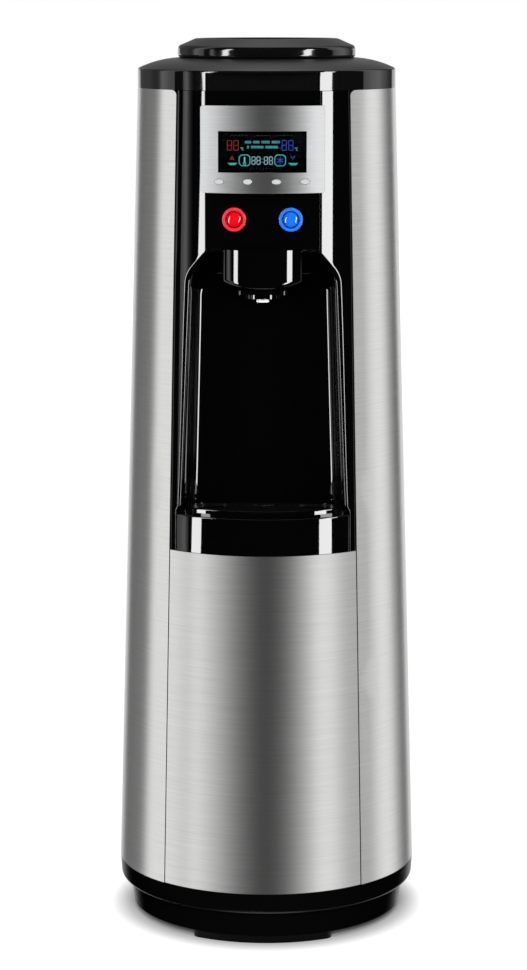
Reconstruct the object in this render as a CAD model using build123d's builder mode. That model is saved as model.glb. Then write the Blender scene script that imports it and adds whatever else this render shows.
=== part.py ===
from build123d import *
import math
import os

os.makedirs("parts", exist_ok=True)

# Cabinet sizes in millimetres: +Z up, front towards -Y, origin on the floor under the axis
plinth_radius = 170.0
crown_radius = 143.6
plinth_height = 61.0
shell_height = 882.6
service_height = 380.5
sheet = 1.0
flange_depth = 12.0
seam_angle = 40.5
seam_gap = 1.4
back_recess = 35.6
corner_round = 6.0

# Running and seating clearances
seat_gap = 0.3
slide_gap = 0.35
panel_gap = 0.5
side_gap = 0.3

# Heights and planes that many pieces share
shell_top = plinth_height + shell_height
fascia_bottom = plinth_height + service_height
back_y = crown_radius - back_recess
back_face = back_y + sheet
reach = 2 * plinth_radius
bottom_up = (Align.CENTER, Align.CENTER, Align.MIN)
seam_sin = math.sin(math.radians(seam_angle))
seam_cos = math.cos(math.radians(seam_angle))


def shell_radius(z):
    return plinth_radius + (crown_radius - plinth_radius) * (z - plinth_height) / shell_height


def frustum(z_low, z_high, inset, mode=Mode.ADD):
    with Locations((0, 0, z_low)):
        Cone(
            shell_radius(z_low) - inset,
            shell_radius(z_high) - inset,
            z_high - z_low,
            align=bottom_up,
            mode=mode,
        )


def front_wedge(z_low, z_high, shift, mode):
    apex = -shift / seam_sin
    with BuildSketch(Plane.XY.offset(z_low)) as wedge:
        with BuildLine():
            Polyline(
                (0, apex),
                (reach * seam_sin, apex - reach * seam_cos),
                (-reach * seam_sin, apex - reach * seam_cos),
                close=True,
            )
        make_face()
    extrude(wedge.sketch, amount=z_high - z_low, mode=mode)


def block(x_low, x_high, y_low, y_high, z_low, z_high, mode=Mode.ADD):
    with Locations(((x_low + x_high) / 2, (y_low + y_high) / 2, (z_low + z_high) / 2)):
        Box(x_high - x_low, y_high - y_low, z_high - z_low, mode=mode)


def post(x, y, z_low, z_high, radius, mode=Mode.ADD):
    with Locations((x, y, z_low)):
        Cylinder(radius, z_high - z_low, align=bottom_up, mode=mode)


def tube_along(points, radii, radius):
    with BuildLine() as route:
        FilletPolyline(*points, radius=radii)
    with BuildSketch(Plane(route.line @ 0, z_dir=route.line % 0)) as section:
        Circle(radius)
    sweep(section.sketch, path=route.line)


# Black plinth: lower ring, stepped-out band under the steel, floor and rear ledge
foot_height = 8.0
plinth_floor = 4.0
plinth_wall = 5.0
ring_step_low = 15.0
ring_step_high = 12.5
band_step = 1.6
band_bottom = 37.0
band_round = 6.0
floor_top = foot_height + plinth_floor
ring_radius_low = plinth_radius - ring_step_low
ring_radius_high = plinth_radius - ring_step_high
band_radius = plinth_radius - band_step

with BuildPart() as base_plinth:
    with BuildSketch(Plane.XZ):
        with BuildLine():
            Polyline(
                (0, foot_height),
                (ring_radius_low, foot_height),
                (ring_radius_high, band_bottom),
                (band_radius, band_bottom),
                (plinth_radius, plinth_height),
                (plinth_radius - plinth_wall, plinth_height),
                (plinth_radius - plinth_wall, band_bottom + plinth_wall),
                (ring_radius_high - plinth_wall, band_bottom + plinth_wall),
                (ring_radius_low - plinth_wall, floor_top),
                (0, floor_top),
                close=True,
            )
        band_edge = make_face().vertices().filter_by_position(Axis.X, band_radius - 0.1, band_radius + 0.1)
        fillet(band_edge, band_round)
    revolve(axis=Axis.Z)
    with BuildSketch(Plane.XY.offset(plinth_height - plinth_wall)):
        Circle(plinth_radius - plinth_wall / 2)
        with Locations((0, back_y - flange_depth + reach / 2)):
            Rectangle(reach, reach, mode=Mode.INTERSECT)
    extrude(amount=plinth_wall)
base_plinth.part.label = "base_plinth"
export_step(base_plinth.part, "parts/base_plinth.step")

# Wide front foot and the two rear feet
foot_width = 154.0
foot_side = 15.5
foot_corner = 9.0
rear_foot_radius = 18.0
rear_foot_spread = 150.0
foot_back = foot_side - math.sqrt(ring_radius_low ** 2 - (foot_width / 2) ** 2)
rear_foot_y = ring_radius_low - 2.5 * rear_foot_radius

with BuildPart() as front_foot:
    with BuildSketch():
        Circle(ring_radius_low)
        with Locations((0, foot_back)):
            Rectangle(foot_width, reach, align=(Align.CENTER, Align.MAX), mode=Mode.INTERSECT)
        fillet(vertices(), foot_corner)
    extrude(amount=foot_height)
front_foot.part.label = "front_foot"
export_step(front_foot.part, "parts/front_foot.step")

with BuildPart() as rear_feet:
    with GridLocations(rear_foot_spread, 1, 2, 1):
        with Locations((0, rear_foot_y, 0)):
            Cylinder(rear_foot_radius, foot_height, align=bottom_up)
rear_feet.part.label = "rear_feet"
export_step(rear_feet.part, "parts/rear_feet.step")

# Steel base plate on the plinth floor
base_plate_thickness = 1.5
base_plate_top = floor_top + base_plate_thickness

with BuildPart() as base_plate:
    post(0, 0, floor_top, base_plate_top, ring_radius_low - plinth_wall - panel_gap)
base_plate.part.label = "base_plate"
export_step(base_plate.part, "parts/base_plate.step")

# Folded edges of the steel wings, along the front seams and along the flat back
with BuildPart() as seam_folds:
    frustum(plinth_height, shell_top, 0)
    frustum(plinth_height, shell_top, flange_depth, mode=Mode.SUBTRACT)
    front_wedge(plinth_height, shell_top, -seam_gap / 2 - sheet, mode=Mode.INTERSECT)
    front_wedge(plinth_height, shell_top, -seam_gap / 2, mode=Mode.SUBTRACT)

with BuildPart() as back_folds:
    frustum(plinth_height, shell_top, 0)
    frustum(plinth_height, shell_top, flange_depth, mode=Mode.SUBTRACT)
    block(-reach, reach, back_y - sheet, back_y, plinth_height, shell_top, mode=Mode.INTERSECT)

# Screws that hold the flat back to the folds
screw_rows = 4
screw_radius = 1.75
screw_head_radius = 4.0
screw_head = 2.4
screw_length = 9.0
screw_end_margin = 40.0
screw_inset = 9.0
screw_pitch = (shell_height - 2 * screw_end_margin) / (screw_rows - 1)


def back_half_width(z):
    return math.sqrt(shell_radius(z) ** 2 - back_y ** 2)


screw_points = []
for row in range(screw_rows):
    screw_z = plinth_height + screw_end_margin + row * screw_pitch
    for side in (-1, 1):
        screw_points.append((side * (back_half_width(screw_z) - screw_inset), screw_z))

# Left and right brushed steel wings
for side, wing_name in ((-1, "left_side_panel"), (1, "right_side_panel")):
    corner_x = side * (shell_radius(shell_top) * seam_sin + seam_gap / 2 * seam_cos)
    with BuildPart() as wing:
        frustum(plinth_height, shell_top, 0)
        frustum(plinth_height, shell_top, sheet, mode=Mode.SUBTRACT)
        front_wedge(plinth_height, shell_top, -seam_gap / 2, mode=Mode.SUBTRACT)
        block(-reach, reach, back_y, reach, 0, 2 * shell_top, mode=Mode.SUBTRACT)
        add(seam_folds.part)
        add(back_folds.part)
        half_low = min(0, side * reach)
        half_high = max(0, side * reach)
        block(half_low, half_high, -reach, reach, 0, 2 * shell_top, mode=Mode.INTERSECT)
        with BuildSketch(Plane.XZ):
            with Locations((corner_x, shell_top)):
                Rectangle(2 * corner_round, 2 * corner_round)
            with Locations((corner_x + side * corner_round, shell_top - corner_round)):
                Circle(corner_round, mode=Mode.SUBTRACT)
        extrude(amount=reach, mode=Mode.SUBTRACT)
        with BuildSketch(Plane.XZ.offset(-back_y - sheet)):
            with Locations(*screw_points):
                Circle(screw_radius + seat_gap)
        extrude(amount=3 * sheet, mode=Mode.SUBTRACT)
    wing.part.label = wing_name
    export_step(wing.part, f"parts/{wing_name}.step")

with BuildPart() as back_screws:
    with BuildSketch(Plane.XZ.offset(-back_face)):
        with Locations(*screw_points):
            Circle(screw_head_radius)
    extrude(amount=-screw_head)
    with BuildSketch(Plane.XZ.offset(-back_face)):
        with Locations(*screw_points):
            Circle(screw_radius)
    extrude(amount=screw_length)
back_screws.part.label = "back_screws"
export_step(back_screws.part, "parts/back_screws.step")

# Lower front service panel with folded edges, on four push-in studs
service_fold = 8.0
service_low = plinth_height + panel_gap
service_high = fascia_bottom - panel_gap
stud_radius = 4.0
stud_spread = 140.0
stud_margin = 34.0
stud_tail = 6.0
bar_thickness = 2.0
bar_height = 26.0
bar_overlap = 4.0
stud_heights = (service_low + stud_margin, service_high - stud_margin)


def bar_front(z):
    fold_end = (shell_radius(z + bar_height / 2) - flange_depth) * seam_cos
    return (seam_gap / 2 + sheet) * seam_sin - fold_end + seat_gap


with BuildPart() as service_rim:
    frustum(service_low, service_high, 0)
    frustum(service_low, service_high, service_fold, mode=Mode.SUBTRACT)
    front_wedge(service_low, service_high, seam_gap / 2, mode=Mode.INTERSECT)

with BuildPart() as service_hollow:
    frustum(service_low + sheet, service_high - sheet, sheet)
    front_wedge(service_low + sheet, service_high - sheet, seam_gap / 2 + sheet, mode=Mode.INTERSECT)

with BuildPart() as lower_front_panel:
    add(service_rim.part)
    add(service_hollow.part, mode=Mode.SUBTRACT)
lower_front_panel.part.label = "lower_front_panel"
export_step(lower_front_panel.part, "parts/lower_front_panel.step")

with BuildPart() as panel_studs:
    for stud_z in stud_heights:
        with BuildSketch(Plane.XZ.offset(-bar_front(stud_z) - bar_thickness - stud_tail)):
            with Locations((0, stud_z)):
                with GridLocations(stud_spread, 1, 2, 1):
                    Circle(stud_radius)
        extrude(amount=reach)
    frustum(service_low, service_high, sheet, mode=Mode.INTERSECT)
panel_studs.part.label = "panel_studs"
export_step(panel_studs.part, "parts/panel_studs.step")

with BuildPart() as panel_crossbars:
    for bar_z in stud_heights:
        bar_half = (shell_radius(bar_z) - flange_depth) * seam_sin + bar_overlap
        bar_y = bar_front(bar_z)
        bar_low = bar_z - bar_height / 2
        block(-bar_half, bar_half, bar_y, bar_y + bar_thickness, bar_low, bar_low + bar_height)
        with BuildSketch(Plane.XZ.offset(-bar_y - 2 * bar_thickness)):
            with Locations((0, bar_z)):
                with GridLocations(stud_spread, 1, 2, 1):
                    Circle(stud_radius + slide_gap)
        extrude(amount=3 * bar_thickness, mode=Mode.SUBTRACT)
panel_crossbars.part.label = "panel_crossbars"
export_step(panel_crossbars.part, "parts/panel_crossbars.step")

# Bottle-shaped front opening: narrow neck above, wide niche below
neck_half = 61.5
neck_drop = 172.6
shoulder_drop = 25.0
cheek_shoulder = 13.2
cheek_foot = 6.6
shelf_rise = 47.5
neck_round = 10.0
shoulder_round = 35.0
opening_round = 1.5
fascia_wall = 3.0
fascia_top = shell_top - panel_gap
neck_bottom = shell_top - neck_drop
shoulder_z = neck_bottom - shoulder_drop
shelf_line = fascia_bottom + shelf_rise
shoulder_half = shell_radius(shoulder_z) * seam_sin - cheek_shoulder
niche_half = shell_radius(shelf_line) * seam_sin - cheek_foot



def on_opening(edge):
    middle = edge.center()
    on_skin = abs(math.hypot(middle.X, middle.Y) - shell_radius(middle.Z)) < opening_round / 2
    inside_ends = fascia_bottom + opening_round < middle.Z < shell_top - opening_round
    seam_x = -middle.Y * seam_sin / seam_cos
    return on_skin and inside_ends and abs(middle.X) < seam_x - cheek_foot / 2


# Gloss black cheeks left and right of the opening
for side, cheek_name in ((-1, "left_cheek"), (1, "right_cheek")):
    with BuildPart() as cheek_outline:
        with BuildSketch(Plane.XZ):
            with BuildLine():
                shoulder_edge = FilletPolyline(
                    (side * neck_half, neck_bottom),
                    (side * shoulder_half, shoulder_z),
                    (side * niche_half, shelf_line),
                    (side * niche_half, fascia_bottom - fascia_wall),
                    radius=shoulder_round,
                )
                Polyline(
                    shoulder_edge @ 1,
                    (side * reach, fascia_bottom - fascia_wall),
                    (side * reach, shell_top + fascia_wall),
                    (side * neck_half, shell_top + fascia_wall),
                    shoulder_edge @ 0,
                )
            make_face()
        extrude(amount=reach)
    with BuildPart() as cheek:
        frustum(fascia_bottom, fascia_top, 0)
        frustum(fascia_bottom, fascia_top, fascia_wall, mode=Mode.SUBTRACT)
        front_wedge(fascia_bottom, fascia_top, seam_gap / 2, mode=Mode.INTERSECT)
        add(cheek_outline.part, mode=Mode.INTERSECT)
        neck_corner = (side * neck_half, -shell_radius(neck_bottom), neck_bottom)
        fillet(cheek.edges().filter_by(Axis.Y).sort_by_distance(neck_corner)[0], neck_round)
        fillet(cheek.edges().filter_by(on_opening), opening_round)
    cheek.part.label = cheek_name
    export_step(cheek.part, f"parts/{cheek_name}.step")

# Flat facet between the cheeks, leaning with the cabinet's taper
facet_setback = 1.5
column_wall = 3.0
column_bottom = neck_bottom + column_wall
column_half = neck_half - side_gap


def chord_y(z):
    return -math.sqrt(shell_radius(z) ** 2 - neck_half ** 2) + facet_setback


facet_slope = (chord_y(shell_top) - chord_y(column_bottom)) / (shell_top - column_bottom)
facet_lean = math.atan(facet_slope)


def facet_y(z):
    return chord_y(column_bottom) + facet_slope * (z - column_bottom)


def facet_plane(x, z):
    out = (0, -math.cos(facet_lean), math.sin(facet_lean))
    return Plane(origin=(x, facet_y(z), z), x_dir=(1, 0, 0), z_dir=out)


def ahead_of_facet(z_low, z_high, half, mode):
    with BuildSketch(Plane.YZ) as slab:
        with BuildLine():
            Polyline(
                (facet_y(z_low), z_low),
                (facet_y(z_high), z_high),
                (-reach, z_high),
                (-reach, z_low),
                close=True,
            )
        make_face()
    extrude(slab.sketch, amount=half, both=True, mode=mode)


# Niche liner: slanting side walls, back wall and ceiling round the dispensing space
niche_lip = 8.85
niche_depth = 42.0
niche_mouth = 13.0
liner_wall = 2.5
deck_drop = 7.0
back_slant_low = 20.5
back_slant_high = 12.9
back_slant_top = 6.5
back_shoulder = 43.0
back_top_drop = 28.0
back_corner = 18.0
deck_z = shelf_line - deck_drop
ceiling_front = column_bottom - liner_wall - 2 * side_gap
niche_front = -facet_y(column_bottom) - niche_lip
niche_back = niche_depth - niche_front
back_half_low = niche_half - back_slant_low
back_half_high = shoulder_half - back_slant_high
back_top_half = neck_half - back_slant_top


def niche_outline(depth, half_low, half_high, half_top, shoulder, top, rounds, grow):
    with BuildSketch(Plane.XZ.offset(depth)) as outline:
        with BuildLine():
            right_wall = FilletPolyline(
                (half_low + grow, deck_z),
                (half_high + grow, shoulder),
                (half_top + grow, top + grow),
                (0, top + grow),
                radius=rounds,
            )
            mirror(right_wall, about=Plane.YZ)
            Line(right_wall @ 0, (-half_low - grow, deck_z))
        make_face()
    return outline.sketch


def niche_front_outline(depth, grow):
    low_half = niche_half
    rounds = (shoulder_round, neck_round)
    return niche_outline(depth, low_half, shoulder_half, neck_half, shoulder_z, ceiling_front, rounds, grow)


def niche_back_outline(depth, grow):
    rounds = (back_corner, back_corner)
    top = ceiling_front - back_top_drop
    return niche_outline(
        depth, back_half_low, back_half_high, back_top_half, ceiling_front - back_shoulder, top, rounds, grow
    )


with BuildPart() as niche_space:
    loft([niche_front_outline(niche_front, 0), niche_back_outline(-niche_back, 0)], ruled=True)
    extrude(niche_front_outline(niche_front, 0), amount=reach)

hood_half = 43.5
nozzle_setback = 1.0
feed_radius = 7.0
nozzle_y = nozzle_setback - niche_front

with BuildPart() as niche_liner:
    liner_front = niche_front_outline(niche_front, liner_wall)
    liner_back = niche_back_outline(-niche_back - liner_wall, liner_wall)
    loft([liner_front, liner_back], ruled=True)
    extrude(niche_front_outline(niche_front, liner_wall), amount=niche_mouth)
    frustum(deck_z, shell_top, fascia_wall + seat_gap, mode=Mode.INTERSECT)
    add(niche_space.part, mode=Mode.SUBTRACT)
    block(
        -hood_half - side_gap,
        hood_half + side_gap,
        -reach,
        -niche_front,
        ceiling_front - liner_wall,
        column_bottom,
        mode=Mode.SUBTRACT,
    )
    post(0, nozzle_y, deck_z + 2 * back_top_drop, column_bottom, feed_radius + seat_gap, mode=Mode.SUBTRACT)
niche_liner.part.label = "niche_liner"
export_step(niche_liner.part, "parts/niche_liner.step")

# Drip tray outline: curved front, straight sides, round rear corners
tray_side = 16.5
tray_front_setback = 10.0
tray_back_gap = 6.0
tray_rim = 5.0
tray_wall = 2.0
tray_lip = 7.0
tray_depth = 24.0
tray_front_corner = 6.0
tray_back_corner = 18.0
tray_edge_round = 1.5
tray_half = niche_half - tray_side
tray_back = niche_back - tray_back_gap
tray_top = deck_z + tray_lip
tray_front_radius = shell_radius(tray_top) - tray_front_setback
grille_thickness = 3.0
grille_seat = tray_top - grille_thickness - 0.5


def tray_sketch(z, inset):
    with BuildSketch(Plane.XY.offset(z)) as outline:
        Circle(tray_front_radius - inset)
        with Locations((0, tray_back - inset)):
            Rectangle(2 * (tray_half - inset), reach, align=(Align.CENTER, Align.MAX), mode=Mode.INTERSECT)
        fillet(outline.vertices().group_by(Axis.Y)[-1], tray_back_corner - inset)
        fillet(outline.vertices().group_by(Axis.Y)[0], tray_front_corner)
    return outline.sketch


# Shelf: black front wall and deck with the pocket that takes the tray
shelf_half = niche_half - slide_gap
shelf_round = 4.0
shelf_edge_round = 1.5
shelf_relief = 2.4
shelf_relief_y = niche_front - 7.0
pocket_floor = deck_z - tray_depth - seat_gap

with BuildPart() as shelf:
    frustum(fascia_bottom, deck_z, 0)
    block(-shelf_half, shelf_half, -reach, niche_back + liner_wall, 0, 2 * deck_z, mode=Mode.INTERSECT)
    for side in (-1, 1):
        shelf_end = (side * shelf_half, -shell_radius(deck_z), (fascia_bottom + deck_z) / 2)
        fillet(shelf.edges().sort_by_distance(shelf_end)[0], shelf_round)
        relief_low = min(side * (shelf_half - shelf_relief), side * reach)
        relief_high = max(side * (shelf_half - shelf_relief), side * reach)
        block(relief_low, relief_high, -shelf_relief_y, reach, 0, 2 * deck_z, mode=Mode.SUBTRACT)
    fillet(shelf.edges().group_by(Axis.Z)[-1].sort_by(Axis.Y)[0], shelf_edge_round)
    extrude(tray_sketch(pocket_floor, tray_rim - panel_gap), amount=reach, mode=Mode.SUBTRACT)
shelf.part.label = "shelf"
export_step(shelf.part, "parts/shelf.step")

with BuildPart() as drip_tray:
    extrude(tray_sketch(deck_z, 0), amount=tray_lip)
    extrude(tray_sketch(deck_z - tray_depth, tray_rim), amount=tray_depth)
    basin_floor = deck_z - tray_depth + tray_wall
    extrude(tray_sketch(basin_floor, tray_rim + tray_wall), amount=reach, mode=Mode.SUBTRACT)
    extrude(tray_sketch(grille_seat, tray_wall), amount=reach, mode=Mode.SUBTRACT)
    fillet(drip_tray.faces().sort_by(Axis.Z)[-1].outer_wire().edges(), tray_edge_round)
drip_tray.part.label = "drip_tray"
export_step(drip_tray.part, "parts/drip_tray.step")

# Drip grille: two large rounded openings and a small branched slot in the middle
grille_side_rib = 4.5
grille_rib = 4.0
grille_window_width = 34.0
grille_window_round = 9.0
grille_slot = 5.0
grille_slot_arm = 11.0
grille_edge = tray_wall + slide_gap
window_outer = tray_half - grille_edge - grille_side_rib
window_spread = 2 * window_outer - grille_window_width
window_front = grille_rib - math.sqrt((tray_front_radius - grille_edge) ** 2 - window_outer ** 2)
window_back = tray_back - grille_edge - grille_rib
window_middle = (window_front + window_back) / 2

with BuildPart() as drip_grille:
    extrude(tray_sketch(grille_seat, grille_edge), amount=grille_thickness)
    with BuildSketch(Plane.XY.offset(grille_seat)):
        with Locations((0, window_middle)):
            with GridLocations(window_spread, 1, 2, 1):
                RectangleRounded(grille_window_width, window_back - window_front, grille_window_round)
            with PolarLocations(grille_slot_arm / 2, 3, start_angle=-90):
                SlotOverall(grille_slot_arm + grille_slot, grille_slot)
    extrude(amount=grille_thickness, mode=Mode.SUBTRACT)
drip_grille.part.label = "drip_grille"
export_step(drip_grille.part, "parts/drip_grille.step")

# Round control plate in brushed metal, its curved carrier and the display window
plate_width = 134.0
plate_height = 93.0
plate_top_drop = 15.6
plate_thickness = 2.0
plate_corner = 3.0
plate_edge_round = 0.5
lens_width = 95.0
lens_height = 44.0
lens_drop = 27.0
lens_recess = 0.4
lens_gap = 0.2
lens_ledge = 2.5
bezel_wall = 3.0
bezel_margin = 1.0
key_width = 9.8
key_height = 5.4
key_spread = 30.9
key_rise = 12.0
key_proud = 0.9
key_travel = 1.2
key_back = 1.5
key_lip = 1.3
key_count = 4
board_thickness = 1.6
board_margin = 3.0
plate_high = shell_top - plate_top_drop
plate_low = plate_high - plate_height
plate_middle = (plate_low + plate_high) / 2
lens_middle = plate_high - lens_drop - lens_height / 2
key_z = plate_low + key_rise
key_xs = [(index - (key_count - 1) / 2) * key_spread for index in range(key_count)]
bezel_low = plate_low + bezel_margin
bezel_high = plate_high - bezel_margin
plate_outset = seat_gap + plate_thickness

with BuildPart() as bezel_hollow:
    hollow_low = bezel_low + bezel_wall
    hollow_high = bezel_high - bezel_wall
    frustum(hollow_low, hollow_high, bezel_wall)
    ahead_of_facet(hollow_low, hollow_high, column_half - bezel_wall, mode=Mode.INTERSECT)

with BuildPart() as control_bezel:
    frustum(bezel_low, bezel_high, 0)
    ahead_of_facet(bezel_low, bezel_high, column_half, mode=Mode.INTERSECT)
    add(bezel_hollow.part, mode=Mode.SUBTRACT)
    with BuildSketch(Plane.XZ):
        with Locations((0, lens_middle)):
            Rectangle(lens_width - 2 * lens_ledge, lens_height - 2 * lens_ledge)
    extrude(amount=reach, mode=Mode.SUBTRACT)
    for key_x in key_xs:
        with BuildSketch(facet_plane(key_x, key_z)):
            Ellipse(key_width / 2 + slide_gap, key_height / 2 + slide_gap)
        extrude(amount=reach, mode=Mode.SUBTRACT)
control_bezel.part.label = "control_bezel"
export_step(control_bezel.part, "parts/control_bezel.step")

with BuildPart() as control_plate:
    frustum(plate_low, plate_high, -plate_outset)
    frustum(plate_low, plate_high, -seat_gap, mode=Mode.SUBTRACT)
    with BuildSketch(Plane.XZ):
        with Locations((0, plate_middle)):
            RectangleRounded(plate_width, plate_height, plate_corner)
        with Locations((0, lens_middle)):
            Rectangle(lens_width, lens_height, mode=Mode.SUBTRACT)
    extrude(amount=reach, mode=Mode.INTERSECT)
    for key_x in key_xs:
        with BuildSketch(facet_plane(key_x, key_z)):
            Ellipse(key_width / 2 + slide_gap, key_height / 2 + slide_gap)
        extrude(amount=reach, mode=Mode.SUBTRACT)
    fillet(control_plate.faces().sort_by(Axis.Y)[0].outer_wire().edges(), plate_edge_round)
control_plate.part.label = "control_plate"
export_step(control_plate.part, "parts/control_plate.step")

with BuildPart() as display_lens:
    frustum(plate_low, plate_high, lens_recess - plate_outset)
    frustum(plate_low, plate_high, -seat_gap / 2, mode=Mode.SUBTRACT)
    with BuildSketch(Plane.XZ):
        with Locations((0, lens_middle)):
            Rectangle(lens_width - 2 * lens_gap, lens_height - 2 * lens_gap)
    extrude(amount=reach, mode=Mode.INTERSECT)
display_lens.part.label = "display_lens"
export_step(display_lens.part, "parts/display_lens.step")

# Oval keys, each with a broad tail behind the carrier's wall
for index, key_x in enumerate(key_xs):
    key_plane = facet_plane(key_x, key_z).offset(key_back)
    with BuildPart() as key_tail:
        with BuildSketch(key_plane):
            Ellipse(key_width / 2 + key_lip, key_height / 2 + key_lip)
        extrude(amount=reach)
        frustum(plate_low, plate_high, bezel_wall + slide_gap, mode=Mode.INTERSECT)
    with BuildPart() as menu_button:
        with BuildSketch(key_plane):
            Ellipse(key_width / 2, key_height / 2)
        extrude(amount=reach)
        frustum(plate_low, plate_high, -plate_outset - key_proud, mode=Mode.INTERSECT)
        add(key_tail.part)
    key_name = f"menu_button_{index + 1}"
    menu_button.part.label = key_name
    export_step(menu_button.part, f"parts/{key_name}.step")

# Control column: facet wall, its bottom flange and the posts behind the push buttons
push_spread = 61.2
push_drop = 137.4
push_radius = 8.75
push_proud = 4.4
push_dome = 2.6
push_travel = 4.0
push_flange = 2.0
push_lip = 1.5
ring_radius = 13.0
ring_proud = 3.0
ring_round = 1.2
sleeve_wall = 1.7
sleeve_length = 8.0
switch_width = 20.0
switch_height = 12.0
switch_depth = 8.0
switch_post = 3.0
flange_gap = 1.0
window_margin = 6.0
flange_back = niche_back - flange_gap
push_z = shell_top - push_drop
push_bore = push_radius + slide_gap
sleeve_radius = push_bore + sleeve_wall
switch_front = sleeve_length + push_flange + push_travel + 2 * slide_gap
post_front = switch_front + switch_depth
push_xs = (-push_spread / 2, push_spread / 2)

with BuildPart() as control_column:
    with BuildSketch(Plane.YZ):
        with BuildLine():
            Polyline(
                (facet_y(column_bottom), column_bottom),
                (facet_y(shell_top), shell_top),
                (facet_y(shell_top) + column_wall, shell_top),
                (facet_y(column_bottom + column_wall) + column_wall, column_bottom + column_wall),
                (flange_back, column_bottom + column_wall),
                (flange_back, column_bottom),
                close=True,
            )
        make_face()
    extrude(amount=column_half, both=True)
    with BuildSketch(Plane.XZ):
        with Locations((0, plate_middle)):
            Rectangle(2 * column_half - 2 * window_margin, plate_height - 2 * window_margin)
    extrude(amount=reach, mode=Mode.SUBTRACT)
    for push_x in push_xs:
        with BuildSketch(facet_plane(push_x, push_z).offset(-post_front)):
            with Locations((0, switch_height / 2)):
                post_height = push_z - column_bottom + switch_height / 2
                Rectangle(switch_width, post_height, align=(Align.CENTER, Align.MAX))
        extrude(amount=-switch_post)
        with BuildSketch(facet_plane(push_x, push_z).offset(-2 * column_wall)):
            Circle(sleeve_radius + seat_gap)
        extrude(amount=3 * column_wall, mode=Mode.SUBTRACT)
    post(0, nozzle_y, column_bottom, column_bottom + column_wall, feed_radius + seat_gap, mode=Mode.SUBTRACT)
    block(-reach, reach, -reach, reach, 0, column_bottom, mode=Mode.SUBTRACT)
control_column.part.label = "control_column"
export_step(control_column.part, "parts/control_column.step")

# Circuit board behind the column's window, with the display block and the key switches
display_block = 6.0
key_switch_radius = 3.0
board_width = 2 * column_half - 2 * window_margin + 2 * board_margin
board_height = plate_height - 2 * window_margin + 2 * board_margin

with BuildPart() as display_board:
    with BuildSketch(facet_plane(0, plate_middle).offset(-column_wall)):
        Rectangle(board_width, board_height)
    extrude(amount=-board_thickness)
    with BuildSketch(facet_plane(0, lens_middle).offset(-column_wall)):
        Rectangle(lens_width - 4 * lens_ledge, lens_height - 4 * lens_ledge)
    extrude(amount=column_wall + display_block)
    for key_x in key_xs:
        with BuildSketch(facet_plane(key_x, key_z).offset(-column_wall)):
            Circle(key_switch_radius)
        extrude(amount=column_wall + key_back - key_travel - slide_gap)
display_board.part.label = "display_board"
export_step(display_board.part, "parts/display_board.step")

# Hot and cold push buttons, their rings and the switches behind them
for push_x, push_name in zip(push_xs, ("hot_button", "cold_button")):
    push_plane = facet_plane(push_x, push_z)
    with BuildPart() as push_ring:
        with BuildSketch(push_plane):
            Circle(ring_radius)
        extrude(amount=ring_proud)
        fillet(push_ring.edges().filter_by(GeomType.CIRCLE).sort_by(Axis.Y)[0], ring_round)
        with BuildSketch(push_plane):
            Circle(sleeve_radius)
        extrude(amount=-sleeve_length)
        with BuildSketch(push_plane.offset(-sleeve_length)):
            Circle(push_bore)
        extrude(amount=sleeve_length + ring_proud, mode=Mode.SUBTRACT)
    push_ring.part.label = f"{push_name}_bezel"
    export_step(push_ring.part, f"parts/{push_name}_bezel.step")
    with BuildPart() as push_button:
        with BuildSketch(push_plane.offset(-sleeve_length - slide_gap)):
            Circle(push_radius)
        extrude(amount=sleeve_length + slide_gap + push_proud)
        fillet(push_button.edges().filter_by(GeomType.CIRCLE).sort_by(Axis.Y)[0], push_dome)
        with BuildSketch(push_plane.offset(-sleeve_length - slide_gap)):
            Circle(push_radius + push_lip)
        extrude(amount=-push_flange)
    push_button.part.label = push_name
    export_step(push_button.part, f"parts/{push_name}.step")

with BuildPart() as button_switches:
    for push_x in push_xs:
        with BuildSketch(facet_plane(push_x, push_z).offset(-post_front)):
            Rectangle(switch_width, switch_height)
        extrude(amount=switch_depth)
button_switches.part.label = "button_switches"
export_step(button_switches.part, "parts/button_switches.step")

# Spout: convex hood under the column, holder with its feed tube, and the bright tip
hood_radius = 63.0
hood_belly = 150.0
hood_proud = 18.15
hood_height = 43.5
hood_round = 7.0
hood_corner = 8.0
hood_slab = 8.0
slab_half = 26.0
slab_depth = 25.0
holder_drop = 4.3
collar_drop = 5.1
collar_radius = 20.0
tip_drop = 4.8
tip_radius = 7.0
water_bore = 4.0
holder_round = 4.0
hood_front = hood_proud - facet_y(column_bottom)
slab_back = slab_depth - niche_front
hood_bottom = column_bottom - hood_height
holder_bottom = hood_bottom - holder_drop
collar_bottom = holder_bottom - collar_drop
tip_bottom = collar_bottom - tip_drop

with BuildPart() as spout_hood:
    with BuildSketch(Plane.XY.offset(hood_bottom)):
        with Locations((0, hood_radius - hood_front)):
            Circle(hood_radius)
        with Locations((0, -niche_front)):
            Rectangle(2 * hood_half, reach, align=(Align.CENTER, Align.MAX), mode=Mode.INTERSECT)
    extrude(amount=hood_height)
    fillet(spout_hood.edges().filter_by(Axis.Z).group_by(Axis.Y)[0], hood_corner)
    with BuildSketch(Plane.XZ):
        with Locations((0, hood_bottom + hood_belly)):
            Circle(hood_belly)
    extrude(amount=reach, mode=Mode.INTERSECT)
    fillet(spout_hood.faces().sort_by(Axis.Z)[0].edges().sort_by(Axis.Y)[0], hood_round)
    block(-slab_half, slab_half, -niche_front, slab_back, hood_bottom, hood_bottom + hood_slab)
    post(0, nozzle_y, hood_bottom, column_bottom, feed_radius + seat_gap, mode=Mode.SUBTRACT)
spout_hood.part.label = "spout_hood"
export_step(spout_hood.part, "parts/spout_hood.step")

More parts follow.
